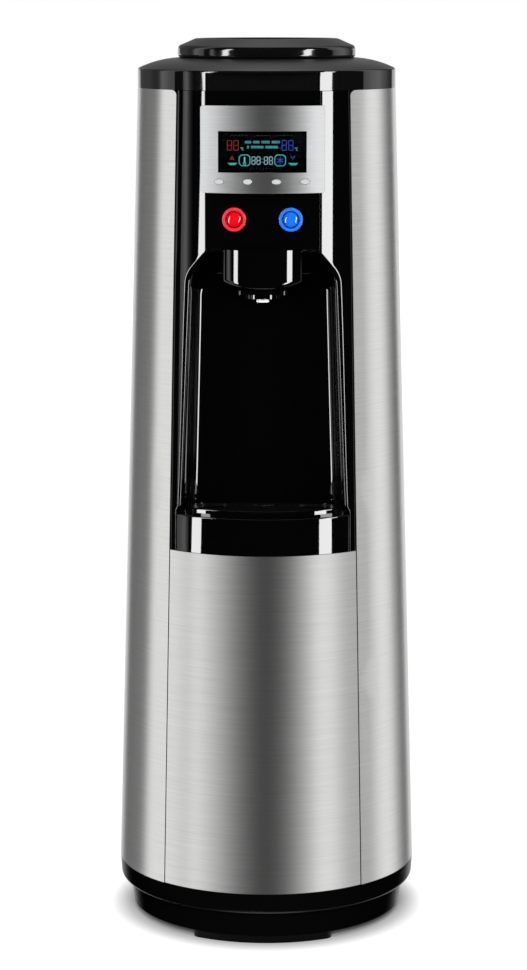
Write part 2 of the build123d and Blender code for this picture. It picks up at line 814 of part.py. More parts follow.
with BuildPart() as nozzle_holder:
    with BuildSketch(Plane.XY.offset(holder_bottom)):
        with Locations((0, nozzle_y)):
            RectangleRounded(2 * slab_half, -2 * (nozzle_y - slab_back), holder_round)
    extrude(amount=holder_drop)
    post(0, nozzle_y, collar_bottom, holder_bottom, collar_radius)
    post(0, nozzle_y, hood_bottom, column_bottom + column_wall, feed_radius)
    post(0, nozzle_y, collar_bottom, column_bottom + column_wall, water_bore, mode=Mode.SUBTRACT)
nozzle_holder.part.label = "nozzle_holder"
export_step(nozzle_holder.part, "parts/nozzle_holder.step")

with BuildPart() as nozzle_tip:
    post(0, nozzle_y, tip_bottom, collar_bottom, tip_radius)
    post(0, nozzle_y, tip_bottom, collar_bottom, water_bore, mode=Mode.SUBTRACT)
nozzle_tip.part.label = "nozzle_tip"
export_step(nozzle_tip.part, "parts/nozzle_tip.step")

# Tanks stand one above the other on two decks
tank_back_gap = 13.0
tank_front_gap = 1.5
cold_height = 240.0
cold_bottom_drop = 243.0
tank_wall = 1.0
wrap_wall = 3.7
wrap_height = 60.0
cold_jacket_wall = 9.7
jacket_floor = 12.0
pipe_radius = 4.0
hot_pipe_gap = 11.15
hot_headroom = 64.6
hot_jacket_wall = 14.7
deck_thickness = 2.0
deck_front_gap = 1.5
deck_back_gap = 32.0
mid_deck_rise = 8.5
hose_radius = 5.0
drain_radius = 6.0
cold_bottom = shell_top - cold_bottom_drop
cold_top = cold_bottom + cold_height
upper_deck_top = cold_bottom - jacket_floor
mid_deck_top = fascia_bottom + mid_deck_rise + deck_thickness
hot_bottom = mid_deck_top + jacket_floor
hot_top = upper_deck_top - deck_thickness - hot_headroom
tank_front = niche_back + liner_wall + tank_front_gap
tank_back = back_y - tank_back_gap
tank_y = (tank_front + tank_back) / 2
cold_jacket_radius = (tank_back - tank_front) / 2
jacket_inner = cold_jacket_radius - cold_jacket_wall
wrap_inner = jacket_inner - seat_gap - wrap_wall
cold_radius = wrap_inner - seat_gap
suction_radius = wrap_inner + wrap_wall / 2
hot_jacket_radius = suction_radius - pipe_radius - hot_pipe_gap
hot_radius = hot_jacket_radius - hot_jacket_wall - seat_gap

# Routes of the pipes and hoses that pass the decks
capillary_radius = 1.5
capillary_angle = 10.0
suction_x = suction_radius
capillary_x = suction_radius * math.cos(math.radians(capillary_angle))
capillary_y = tank_y + suction_radius * math.sin(math.radians(capillary_angle))
feed_y = tank_y + hot_radius / 2
drain_y = tank_y + hot_radius / 2
hose_air = 2.0
hot_hose_x = -cold_jacket_radius - hose_radius - hose_air
hot_outlet_inset = 20.0
hot_hose_start = hot_outlet_inset - hot_radius


def deck(z_top, mode=Mode.ADD):
    post(0, 0, z_top - deck_thickness, z_top, shell_radius(z_top) - sheet - seat_gap, mode=mode)
    block(
        -reach,
        reach,
        niche_back + liner_wall + deck_front_gap,
        back_y - deck_back_gap,
        z_top - deck_thickness,
        z_top,
        mode=Mode.INTERSECT,
    )


def pass_pipes(z_low, z_high):
    post(suction_x, tank_y, z_low, z_high, pipe_radius + seat_gap, mode=Mode.SUBTRACT)
    post(capillary_x, capillary_y, z_low, z_high, capillary_radius + seat_gap, mode=Mode.SUBTRACT)


with BuildPart() as mid_deck:
    deck(mid_deck_top)
    pass_pipes(mid_deck_top - deck_thickness, mid_deck_top)
    post(0, drain_y, mid_deck_top - deck_thickness, mid_deck_top, drain_radius + seat_gap, mode=Mode.SUBTRACT)
mid_deck.part.label = "mid_deck"
export_step(mid_deck.part, "parts/mid_deck.step")

with BuildPart() as upper_deck:
    deck(upper_deck_top)
    deck_under = upper_deck_top - deck_thickness
    pass_pipes(deck_under, upper_deck_top)
    post(0, feed_y, deck_under, upper_deck_top, hose_radius + seat_gap, mode=Mode.SUBTRACT)
    post(hot_hose_x, tank_y, deck_under, upper_deck_top, hose_radius + seat_gap, mode=Mode.SUBTRACT)
upper_deck.part.label = "upper_deck"
export_step(upper_deck.part, "parts/upper_deck.step")

with BuildPart() as cold_tank:
    post(0, tank_y, cold_bottom, cold_top, cold_radius)
    post(0, tank_y, cold_bottom + tank_wall, cold_top, cold_radius - tank_wall, mode=Mode.SUBTRACT)
cold_tank.part.label = "cold_tank"
export_step(cold_tank.part, "parts/cold_tank.step")

with BuildPart() as evaporator_wrap:
    post(0, tank_y, cold_bottom, cold_bottom + wrap_height, wrap_inner + wrap_wall)
    post(0, tank_y, cold_bottom, cold_bottom + wrap_height, wrap_inner, mode=Mode.SUBTRACT)
evaporator_wrap.part.label = "evaporator_wrap"
export_step(evaporator_wrap.part, "parts/evaporator_wrap.step")

# Manifold under the tank's outlet, with its two valve coils
manifold_half = 18.0
manifold_height = 20.0
manifold_wide = 28.0
manifold_front_gap = 3.0
coil_radius = 12.0
coil_height = 34.0
coil_spread = 30.0
coil_overhang = 3.0
coil_y = flange_back - coil_radius + coil_overhang
manifold_low = column_bottom + column_wall
manifold_high = manifold_low + manifold_height
manifold_front = facet_y(column_bottom) + column_wall + manifold_front_gap
outlet_z = (manifold_low + manifold_high) / 2

with BuildPart() as cold_tank_insulation:
    post(0, tank_y, upper_deck_top, cold_top, cold_jacket_radius)
    post(0, tank_y, cold_bottom, cold_top, jacket_inner, mode=Mode.SUBTRACT)
    pass_pipes(upper_deck_top, cold_bottom)
    post(0, feed_y, upper_deck_top, cold_bottom, hose_radius + seat_gap, mode=Mode.SUBTRACT)
    with BuildSketch(Plane.XZ):
        with Locations((0, outlet_z)):
            Circle(hose_radius + seat_gap)
    extrude(amount=reach, mode=Mode.SUBTRACT)
cold_tank_insulation.part.label = "cold_tank_insulation"
export_step(cold_tank_insulation.part, "parts/cold_tank_insulation.step")

with BuildPart() as hot_tank:
    post(0, tank_y, hot_bottom, hot_top, hot_radius)
    post(0, tank_y, hot_bottom + tank_wall, hot_top - tank_wall, hot_radius - tank_wall, mode=Mode.SUBTRACT)
hot_tank.part.label = "hot_tank"
export_step(hot_tank.part, "parts/hot_tank.step")

with BuildPart() as hot_tank_insulation:
    post(0, tank_y, mid_deck_top, hot_top, hot_jacket_radius)
    post(0, tank_y, hot_bottom, hot_top, hot_radius + seat_gap, mode=Mode.SUBTRACT)
    post(0, drain_y, mid_deck_top, hot_bottom, drain_radius + seat_gap, mode=Mode.SUBTRACT)
hot_tank_insulation.part.label = "hot_tank_insulation"
export_step(hot_tank_insulation.part, "parts/hot_tank_insulation.step")

with BuildPart() as dispensing_manifold:
    block(-manifold_half, manifold_half, manifold_front, flange_back, manifold_low, manifold_high)
    block(
        -manifold_wide,
        manifold_wide,
        coil_y - coil_radius,
        flange_back,
        manifold_low,
        manifold_high,
    )
    with BuildSketch(Plane.XZ.offset(-flange_back)):
        with Locations((0, outlet_z)):
            Circle(hose_radius)
    extrude(amount=flange_back - tank_y + cold_radius + seat_gap)
dispensing_manifold.part.label = "dispensing_manifold"
export_step(dispensing_manifold.part, "parts/dispensing_manifold.step")

with BuildPart() as valve_coils:
    with Locations((0, coil_y, manifold_high)):
        with GridLocations(coil_spread, 1, 2, 1):
            Cylinder(coil_radius, coil_height, align=bottom_up)
valve_coils.part.label = "valve_coils"
export_step(valve_coils.part, "parts/valve_coils.step")

# Hoses: tank to tank, hot tank to manifold, hot tank to the rear drain
hose_bend = 14.0
hose_rise = 26.0
drain_fall = 30.0
drain_z = mid_deck_top - deck_thickness - drain_fall

with BuildPart() as water_hoses:
    post(0, feed_y, hot_top, cold_bottom, hose_radius)
    tube_along(
        (
            (hot_hose_start, tank_y, hot_top),
            (hot_hose_start, tank_y, hot_top + hose_rise),
            (hot_hose_x, tank_y, hot_top + hose_rise),
            (hot_hose_x, tank_y, outlet_z),
            (hot_hose_x, coil_y, outlet_z),
            (-manifold_wide, coil_y, outlet_z),
        ),
        hose_bend,
        hose_radius,
    )
    tube_along(
        (
            (0, drain_y, hot_bottom),
            (0, drain_y, drain_z),
            (0, back_y, drain_z),
        ),
        hose_bend,
        drain_radius,
    )
water_hoses.part.label = "water_hoses"
export_step(water_hoses.part, "parts/water_hoses.step")

# Top cover: plain band, low dome and the flat facet carried up from the column
band_height = 21.0
dome_rise = 11.7
dome_sag = 2.3
dome_ledge = 1.0
rim_radius = 99.0
cover_wall = 3.0
cover_round = 2.5
collar_hole = 72.0
facet_headroom = 2.1
dome_flat_radius = rim_radius + dome_ledge
band_top = shell_top + band_height
dome_top = band_top + dome_rise
dome_run = crown_radius - dome_flat_radius
dome_chord = math.hypot(dome_run, dome_rise)


def dome_middle(inset):
    r = (crown_radius + dome_flat_radius) / 2 - inset + dome_sag * dome_rise / dome_chord
    z = (band_top + dome_top) / 2 - inset + dome_sag * dome_run / dome_chord
    return (r, z)


with BuildPart() as top_cover:
    with BuildSketch(Plane.XZ):
        with BuildLine():
            Line((crown_radius, shell_top), (crown_radius, band_top))
            ThreePointArc((crown_radius, band_top), dome_middle(0), (dome_flat_radius, dome_top))
            Polyline(
                (dome_flat_radius, dome_top),
                (collar_hole, dome_top),
                (collar_hole, dome_top - cover_wall),
                (dome_flat_radius - cover_wall, dome_top - cover_wall),
            )
            ThreePointArc(
                (dome_flat_radius - cover_wall, dome_top - cover_wall),
                dome_middle(cover_wall),
                (crown_radius - cover_wall, band_top - cover_wall),
            )
            Polyline(
                (crown_radius - cover_wall, band_top - cover_wall),
                (crown_radius - cover_wall, shell_top),
                (crown_radius, shell_top),
            )
        dome_edge = make_face().vertices().sort_by_distance((crown_radius, band_top))[0]
        fillet(dome_edge, cover_round)
    revolve(axis=Axis.Z)
    block(
        -neck_half - cover_wall,
        neck_half + cover_wall,
        facet_y(shell_top),
        facet_y(band_top) + cover_wall,
        shell_top,
        band_top - facet_headroom,
    )
    ahead_of_facet(shell_top, band_top - facet_headroom, neck_half, mode=Mode.SUBTRACT)
    with BuildSketch(Plane.XY.offset(shell_top)):
        Circle(crown_radius - cover_wall / 2)
        with Locations((0, back_y - flange_depth + reach / 2)):
            Rectangle(reach, reach, mode=Mode.INTERSECT)
    extrude(amount=cover_wall)
top_cover.part.label = "top_cover"
export_step(top_cover.part, "parts/top_cover.step")

# Bottle collar: bevelled ring with a funnel down into the cold tank
rim_wall = 12.5
rim_bevel = 20.0
rim_rise = 8.7
rim_foot_round = 4.0
rim_edge_round = 5.0
rim_crest_round = 8.0
mouth_round = 1.0
mouth_radius = 75.0
throat_radius = 58.0
funnel_wall = 3.0
throat_drop = 39.5
throat_depth = 9.0
guard_hole = 32.0
skirt_gap = 0.5
rim_low = dome_top
rim_top = rim_low + rim_wall + rim_rise
throat_z = rim_top - throat_drop
collar_floor = throat_z - throat_depth
skirt_low = cold_top + skirt_gap

with BuildPart() as bottle_collar:
    with BuildSketch(Plane.XZ):
        with BuildLine():
            Polyline(
                (rim_radius, rim_low),
                (rim_radius, rim_low + rim_wall),
                (rim_radius - rim_bevel, rim_top),
                (mouth_radius, rim_top),
                (throat_radius, throat_z),
                (throat_radius, collar_floor),
                (guard_hole, collar_floor),
                (guard_hole, collar_floor - funnel_wall),
                (throat_radius, collar_floor - funnel_wall),
                (throat_radius, skirt_low),
                (throat_radius + funnel_wall, skirt_low),
                (throat_radius + funnel_wall, throat_z),
                (collar_hole - funnel_wall, rim_low),
                close=True,
            )
        make_face()
        for corner_r, corner_z, corner_size in (
            (rim_radius, rim_low, rim_foot_round),
            (rim_radius, rim_low + rim_wall, rim_edge_round),
            (rim_radius - rim_bevel, rim_top, rim_crest_round),
            (mouth_radius, rim_top, mouth_round),
        ):
            fillet(vertices().sort_by_distance((corner_r, corner_z))[0], corner_size)
    revolve(axis=Axis.Z)
bottle_collar.part.label = "bottle_collar"
export_step(bottle_collar.part, "parts/bottle_collar.step")

# Bottle guard: dished plate with the feed spike, lifted out for cleaning
guard_plate = 3.0
guard_dish = 6.0
guard_dish_radius = 24.0
spike_radius = 9.0
spike_height = 34.0
spike_round = 3.0
spike_bore = 4.0
guard_neck = 20.0

with BuildPart() as bottle_guard:
    with BuildSketch(Plane.XZ):
        with BuildLine():
            Polyline(
                (spike_bore, collar_floor - guard_neck),
                (guard_hole - 4 * slide_gap, collar_floor - guard_neck),
                (guard_hole - 4 * slide_gap, collar_floor),
                (throat_radius - 2 * slide_gap, collar_floor),
                (throat_radius - 2 * slide_gap, collar_floor + guard_plate),
                (guard_dish_radius, collar_floor + guard_plate),
                (spike_radius, collar_floor + guard_plate + guard_dish),
                (spike_radius, collar_floor + spike_height),
                (spike_bore, collar_floor + spike_height),
                close=True,
            )
        make_face()
    revolve(axis=Axis.Z)
    spike_rims = bottle_guard.edges().filter_by(GeomType.CIRCLE).group_by(Axis.Z)[-1]
    fillet(spike_rims.sort_by(SortBy.RADIUS)[-1], spike_round)
bottle_guard.part.label = "bottle_guard"
export_step(bottle_guard.part, "parts/bottle_guard.step")

# Compressor on rubber mounts at the bottom of the cabinet
compressor_back_gap = 16.0
compressor_radius = 62.0
compressor_height = 158.0
compressor_round = 22.0
mount_height = 14.0
mount_radius = 11.0
mount_spread_x = 116.0
mount_spread_y = 76.0
foot_plate = 3.0
foot_margin = 15.0
stub_spread = 50.0
stub_rise = 10.0
compressor_y = back_y - compressor_back_gap - compressor_radius
compressor_low = base_plate_top + mount_height
compressor_top = compressor_low + compressor_height
stub_top = compressor_top + stub_rise

with BuildPart() as compressor_mounts:
    with Locations((0, compressor_y, base_plate_top)):
        with GridLocations(mount_spread_x, mount_spread_y, 2, 2):
            Cylinder(mount_radius, mount_height, align=bottom_up)
compressor_mounts.part.label = "compressor_mounts"
export_step(compressor_mounts.part, "parts/compressor_mounts.step")

with BuildPart() as compressor:
    post(0, compressor_y, compressor_low, compressor_top, compressor_radius)
    fillet(compressor.edges().filter_by(GeomType.CIRCLE), compressor_round)
    with BuildSketch(Plane.XY.offset(compressor_low)):
        with Locations((0, compressor_y)):
            RectangleRounded(mount_spread_x + 2 * foot_margin, mount_spread_y + 2 * foot_margin, foot_margin)
    extrude(amount=foot_plate)
    with Locations((0, compressor_y, compressor_top - compressor_round)):
        with GridLocations(stub_spread, 1, 2, 1):
            Cylinder(pipe_radius + 1, compressor_round + stub_rise, align=bottom_up)
compressor.part.label = "compressor"
export_step(compressor.part, "parts/compressor.step")

# Wire-and-tube condenser behind the flat back
condenser_radius = 2.5
condenser_gap = 9.0
condenser_half = 66.0
condenser_rise = 48.6
condenser_passes = 11
condenser_leg = 10.0
condenser_leg_inset = 6.0
condenser_top_drop = 75.0
wire_radius = 0.9
wire_count = 18
wire_overhang = 6.0
tab_width = 10.0
tab_step = 7
condenser_y = back_face + condenser_gap + condenser_radius
condenser_high = shell_top - condenser_top_drop
condenser_low = drain_z + condenser_rise
condenser_pitch = (condenser_high - condenser_low) / (condenser_passes - 1)
leg_x = condenser_half - condenser_leg_inset
leg_y = back_y - condenser_leg
end_side = -1 if condenser_passes % 2 else 1
wire_y = condenser_y - condenser_radius - wire_radius - 0.1
wire_pitch = 2 * (condenser_half - condenser_pitch / 2) / (wire_count - 1)

condenser_points = [(leg_x, leg_y, condenser_low), (leg_x, condenser_y, condenser_low)]
for turn in range(condenser_passes - 1):
    turn_x = -condenser_half if turn % 2 == 0 else condenser_half
    condenser_points.append((turn_x, condenser_y, condenser_low + turn * condenser_pitch))
    condenser_points.append((turn_x, condenser_y, condenser_low + (turn + 1) * condenser_pitch))
condenser_points.append((end_side * leg_x, condenser_y, condenser_high))
condenser_points.append((end_side * leg_x, leg_y, condenser_high))
condenser_bends = [condenser_leg_inset / 2] * (len(condenser_points) - 2)
for bend in range(1, len(condenser_bends) - 1):
    condenser_bends[bend] = condenser_pitch / 2 - 0.1

with BuildPart() as condenser_tube:
    tube_along(condenser_points, condenser_bends, condenser_radius)
condenser_tube.part.label = "condenser_tube"
export_step(condenser_tube.part, "parts/condenser_tube.step")

with BuildPart() as condenser_wires:
    with Locations((0, wire_y, condenser_low - wire_overhang)):
        with GridLocations(wire_pitch, 1, wire_count, 1):
            Cylinder(wire_radius, condenser_high - condenser_low + 2 * wire_overhang, align=bottom_up)
condenser_wires.part.label = "condenser_wires"
export_step(condenser_wires.part, "parts/condenser_wires.step")

# Refrigerant pipes between compressor, condenser, drier and evaporator
pipe_bend = 10.0
pipe_rise = 25.0
drier_radius = 10.0
drier_length = 90.0
drier_drop = 30.0
drier_y_gap = 18.0
drier_fall = 14.0
pipe_run_y = leg_y - 12.0
drier_y = leg_y - drier_y_gap
drier_top = condenser_low - drier_drop
drier_low = drier_top - drier_length

with BuildPart() as filter_drier:
    post(leg_x, drier_y, drier_low, drier_top, drier_radius)
filter_drier.part.label = "filter_drier"
export_step(filter_drier.part, "parts/filter_drier.step")

with BuildPart() as refrigerant_pipes:
    tube_along(
        (
            (-stub_spread / 2, compressor_y, stub_top),
            (-stub_spread / 2, compressor_y, stub_top + pipe_rise),
            (end_side * leg_x, pipe_run_y, stub_top + pipe_rise),
            (end_side * leg_x, pipe_run_y, condenser_high),
            (end_side * leg_x, leg_y, condenser_high),
        ),
        pipe_bend,
        pipe_radius - 1,
    )
    tube_along(
        (
            (leg_x, leg_y, condenser_low),
            (leg_x, drier_y, condenser_low),
            (leg_x, drier_y, drier_top),
        ),
        pipe_bend,
        condenser_radius,
    )
    tube_along(
        (
            (stub_spread / 2, compressor_y, stub_top),
            (stub_spread / 2, compressor_y, stub_top + pipe_rise),
            (suction_x, tank_y, stub_top + pipe_rise),
            (suction_x, tank_y, cold_bottom),
        ),
        pipe_bend,
        pipe_radius,
    )
    tube_along(
        (
            (leg_x, drier_y, drier_low),
            (leg_x, drier_y, drier_low - drier_fall),
            (capillary_x, capillary_y, drier_low - drier_fall),
            (capillary_x, capillary_y, cold_bottom),
        ),
        pipe_bend,
        capillary_radius,
    )
refrigerant_pipes.part.label = "refrigerant_pipes"
export_step(refrigerant_pipes.part, "parts/refrigerant_pipes.step")

# Flat back with pressed tabs that carry the condenser, and the rear fittings' holes
back_margin = 2.0
switch_drop = 60.0
rocker_spread = 44.0
rocker_width = 10.4
rocker_radius = 8.5
rocker_tilt = 12.0
rocker_notch = 4.0
rocker_inset = 2.0
housing_width = 17.0
housing_height = 25.0
housing_lip = 2.0
housing_rim = 2.0
housing_depth = 14.0
gland_x = 50.0
gland_rise = 52.0
gland_radius = 8.0
gland_flange = 11.0
gland_lip = 3.0
gland_length = 12.0
gland_bore = 3.5
drain_cap_radius = 13.0
drain_cap = 9.0
drain_neck_radius = 9.0
vent_x = -42.0
vent_length = 62.0
vent_height = 4.0
vent_pitch = 11.0
vent_rows = 7
rocker_z = drain_z - switch_drop
gland_z = plinth_height + gland_rise
pivot_y = back_face + housing_lip - rocker_inset
rocker_xs = (-rocker_spread / 2, rocker_spread / 2)
back_low = plinth_height + panel_gap
back_high = shell_top - panel_gap

with BuildPart() as back_panel:
    with BuildSketch(Plane.XZ.offset(-back_y)):
        with BuildLine():
            Polyline(
                (back_half_width(back_low) - back_margin, back_low),
                (back_half_width(back_high) - back_margin, back_high),
                (-back_half_width(back_high) + back_margin, back_high),
                (-back_half_width(back_low) + back_margin, back_low),
                close=True,
            )
        make_face()
        with Locations(*screw_points):
            Circle(screw_radius + seat_gap, mode=Mode.SUBTRACT)
        with Locations((leg_x, condenser_low), (end_side * leg_x, condenser_high)):
            Circle(condenser_radius + 2 * seat_gap, mode=Mode.SUBTRACT)
        with Locations((0, drain_z)):
            Circle(drain_neck_radius + seat_gap, mode=Mode.SUBTRACT)
        with Locations((gland_x, gland_z)):
            Circle(gland_radius + seat_gap, mode=Mode.SUBTRACT)
        with Locations((vent_x, gland_z)):
            with GridLocations(1, vent_pitch, 1, vent_rows):
                SlotOverall(vent_length, vent_height, mode=Mode.SUBTRACT)
        with Locations((rocker_xs[0], rocker_z), (rocker_xs[1], rocker_z)):
            Rectangle(
                housing_width - 2 * housing_rim + 2 * seat_gap,
                housing_height - 2 * housing_rim + 2 * seat_gap,
                mode=Mode.SUBTRACT,
            )
    extrude(amount=-sheet)
    for tab_z in (condenser_low + condenser_pitch, condenser_high - condenser_pitch):
        with Locations((0, back_face, tab_z)):
            with GridLocations(2 * tab_step * wire_pitch, 1, 2, 1):
                Box(
                    wire_pitch - 2 * wire_radius - 2 * seat_gap,
                    condenser_gap - seat_gap,
                    tab_width,
                    align=(Align.CENTER, Align.MIN, Align.CENTER),
                )
back_panel.part.label = "back_panel"
export_step(back_panel.part, "parts/back_panel.step")

with BuildPart() as rocker_housings:
    with BuildSketch(Plane.XZ.offset(-back_face)):
        with Locations((rocker_xs[0], rocker_z), (rocker_xs[1], rocker_z)):
            RectangleRounded(housing_width, housing_height, housing_rim)
    extrude(amount=-housing_lip)
    with BuildSketch(Plane.XZ.offset(-back_face)):
        with Locations((rocker_xs[0], rocker_z), (rocker_xs[1], rocker_z)):
            Rectangle(housing_width - 2 * housing_rim, housing_height - 2 * housing_rim)
    extrude(amount=housing_depth)
    with Locations((rocker_xs[0], pivot_y, rocker_z), (rocker_xs[1], pivot_y, rocker_z)):
        Cylinder(
            rocker_radius + slide_gap,
            rocker_width + 2 * slide_gap,
            rotation=(0, 90, 0),
            mode=Mode.SUBTRACT,
        )
rocker_housings.part.label = "rocker_housings"
export_step(rocker_housings.part, "parts/rocker_housings.step")

notch_reach = 4 * rocker_radius
notch_rise = notch_reach * math.tan(math.radians(2 * rocker_tilt))

for rocker_x, rocker_name in zip(rocker_xs, ("hot_rocker", "cold_rocker")):
    with BuildPart() as rocker:
        with Locations((rocker_x, pivot_y, rocker_z)):
            Cylinder(rocker_radius, rocker_width, rotation=(0, 90, 0))
        with BuildSketch(Plane.YZ.offset(rocker_x)):
            with BuildLine():
                Polyline(
                    (pivot_y + rocker_notch, rocker_z),
                    (pivot_y + rocker_notch, rocker_z + notch_reach),
                    (pivot_y + notch_reach, rocker_z + notch_reach),
                    (pivot_y + notch_reach + notch_rise, rocker_z - notch_reach),
                    (pivot_y + rocker_notch + notch_rise, rocker_z - notch_reach),
                    close=True,
                )
            make_face()
        extrude(amount=rocker_width, both=True, mode=Mode.SUBTRACT)
    rocker.part.label = rocker_name
    export_step(rocker.part, f"parts/{rocker_name}.step")

with BuildPart() as mains_gland:
    with BuildSketch(Plane.XZ.offset(-back_face)):
        with Locations((gland_x, gland_z)):
            Circle(gland_flange)
    extrude(amount=-gland_lip)
    with BuildSketch(Plane.XZ.offset(-back_face - gland_length)):
        with Locations((gland_x, gland_z)):
            Circle(gland_radius)
    extrude(amount=2 * gland_length)
    with BuildSketch(Plane.XZ.offset(-back_face - gland_length)):
        with Locations((gland_x, gland_z)):
            Circle(gland_bore)
    extrude(amount=2 * gland_length, mode=Mode.SUBTRACT)
mains_gland.part.label = "mains_gland"
export_step(mains_gland.part, "parts/mains_gland.step")

with BuildPart() as drain_plug:
    with BuildSketch(Plane.XZ.offset(-back_face)):
        with Locations((0, drain_z)):
            Circle(drain_cap_radius)
    extrude(amount=-drain_cap)
    with BuildSketch(Plane.XZ.offset(-back_y)):
        with Locations((0, drain_z)):
            Circle(drain_neck_radius)
    extrude(amount=-sheet)
drain_plug.part.label = "drain_plug"
export_step(drain_plug.part, "parts/drain_plug.step")

# Power board on stand-offs inside the flat back
power_width = 80.0
power_height = 110.0
power_standoff = 9.0
standoff_radius = 3.0
standoff_inset = 6.0
power_drop = 78.0
power_z = rocker_z - power_drop

with BuildPart() as power_board:
    with BuildSketch(Plane.XZ.offset(-back_y + power_standoff)):
        with Locations((0, power_z)):
            Rectangle(power_width, power_height)
    extrude(amount=board_thickness)
    with BuildSketch(Plane.XZ.offset(-back_y + power_standoff)):
        with Locations((0, power_z)):
            with GridLocations(power_width - 2 * standoff_inset, power_height - 2 * standoff_inset, 2, 2):
                Circle(standoff_radius)
    extrude(amount=-power_standoff)
power_board.part.label = "power_board"
export_step(power_board.part, "parts/power_board.step")
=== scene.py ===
import math
import bmesh
import bpy
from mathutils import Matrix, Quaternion, Vector


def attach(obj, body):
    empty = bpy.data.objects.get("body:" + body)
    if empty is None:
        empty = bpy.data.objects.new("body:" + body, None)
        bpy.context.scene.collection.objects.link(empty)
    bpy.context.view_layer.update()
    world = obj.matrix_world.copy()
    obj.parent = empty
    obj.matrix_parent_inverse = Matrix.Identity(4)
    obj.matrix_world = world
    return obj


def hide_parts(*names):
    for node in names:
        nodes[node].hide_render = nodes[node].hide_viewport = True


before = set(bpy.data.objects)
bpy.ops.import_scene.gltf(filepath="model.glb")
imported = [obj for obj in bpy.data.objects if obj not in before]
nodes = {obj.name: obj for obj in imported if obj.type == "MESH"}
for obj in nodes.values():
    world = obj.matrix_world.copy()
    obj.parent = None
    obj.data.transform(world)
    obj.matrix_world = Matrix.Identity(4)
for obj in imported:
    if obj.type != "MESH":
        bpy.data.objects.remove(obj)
scene = bpy.context.scene
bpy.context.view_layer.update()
print("frame loaded:", len(nodes), "nodes")


def linear(hexText):
    values = []
    for start in (0, 2, 4):
        c = int(hexText[start:start + 2], 16) / 255
        values.append(c / 12.92 if c <= 0.04045 else ((c + 0.055) / 1.055) ** 2.4)
    return (*values, 1.0)


def addNode(tree, kind, settings=None, links=None):
    node = tree.nodes.new(kind)
    for key, value in (settings or {}).items():
        if isinstance(key, int) or key in node.inputs.keys():
            node.inputs[key].default_value = value
        else:
            setattr(node, key, value)
    for key, socket in (links or {}).items():
        tree.links.new(socket, node.inputs[key])
    return node


def newMaterial(name):
    material = bpy.data.materials.new(name)
    material.use_nodes = True
    tree = material.node_tree
    shader = tree.nodes["Principled BSDF"]
    coords = addNode(tree, "ShaderNodeTexCoord")
    return material, tree, shader, coords.outputs["Object"]


def setSockets(shader, values):
    for key, value in values.items():
        shader.inputs[key].default_value = value


def setCurve(node, points):
    curve = node.mapping.curves[0]
    for share, level in points[1:-1]:
        curve.points.new(share, level)
    curve.points[0].location = points[0]
    curve.points[len(curve.points) - 1].location = points[-1]
    node.mapping.update()


def shownRays(tree):
    rays = addNode(tree, "ShaderNodeLightPath")
    mirrored = addNode(tree, "ShaderNodeMath", {"operation": "MAXIMUM"},
                       {0: rays.outputs["Is Glossy Ray"], 1: rays.outputs["Is Transmission Ray"]})
    shown = addNode(tree, "ShaderNodeMath", {"operation": "MAXIMUM"},
                    {0: rays.outputs["Is Camera Ray"], 1: mirrored.outputs[0]})
    return shown.outputs[0]


def compassAngle(tree, place):
    axes = addNode(tree, "ShaderNodeSeparateXYZ", links={0: place})
    ahead = addNode(tree, "ShaderNodeMath", {"operation": "MULTIPLY", 1: -1.0}, {0: axes.outputs["Y"]})
    angle = addNode(tree, "ShaderNodeMath", {"operation": "ARCTAN2"},
                    {0: axes.outputs["X"], 1: ahead.outputs[0]})
    return axes, ahead.outputs[0], angle.outputs[0]


def spreadColour(tree, shader, source, hexColour, low, high):
    tone = addNode(tree, "ShaderNodeValToRGB", links={"Fac": source})
    colour = linear(hexColour)[:3]
    for element, share in zip(tone.color_ramp.elements, (low, high)):
        element.color = (*[min(1, c * share) for c in colour], 1)
    tree.links.new(tone.outputs["Color"], shader.inputs["Base Color"])


def spreadRoughness(tree, shader, source, low, high):
    polish = addNode(tree, "ShaderNodeMapRange", {"To Min": low, "To Max": high}, {"Value": source})
    tree.links.new(polish.outputs["Result"], shader.inputs["Roughness"])


def meshObject(name, shape, material, sharpDegrees=None):
    mesh = bpy.data.meshes.new(name)
    shape.to_mesh(mesh)
    shape.free()
    if sharpDegrees:
        mesh.set_sharp_from_angle(angle=math.radians(sharpDegrees))
    mesh.materials.append(material)
    piece = bpy.data.objects.new(name, mesh)
    scene.collection.objects.link(piece)
    return piece


def paint(material, *names):
    for name in names:
        slots = nodes[name].data.materials
        slots.clear()
        slots.append(material)


# camera, as fitted to the photograph
lensFit = {"focalPixels": 2790.3, "imageHeight": 970, "imageCentre": 263.5, "axisColumn": 266.6,
           "distance": 3.14254, "height": 1.03585, "pitch": 0.171, "azimuth": 1.9}
cameraData = bpy.data.cameras.new("photoCamera")
cameraData.sensor_width = 36
cameraData.lens = lensFit["focalPixels"] * cameraData.sensor_width / lensFit["imageHeight"]
cameraObject = bpy.data.objects.new("photoCamera", cameraData)
scene.collection.objects.link(cameraObject)
turn = math.radians(lensFit["azimuth"])
aside = math.atan((lensFit["axisColumn"] - lensFit["imageCentre"]) / lensFit["focalPixels"])
cameraObject.location = (lensFit["distance"] * math.sin(turn), -lensFit["distance"] * math.cos(turn),
                         lensFit["height"])
cameraObject.rotation_euler = (math.pi / 2 - lensFit["pitch"], 0, turn + aside)
scene.camera = cameraObject
scene.view_settings.view_transform = "Standard"
print("camera placed")

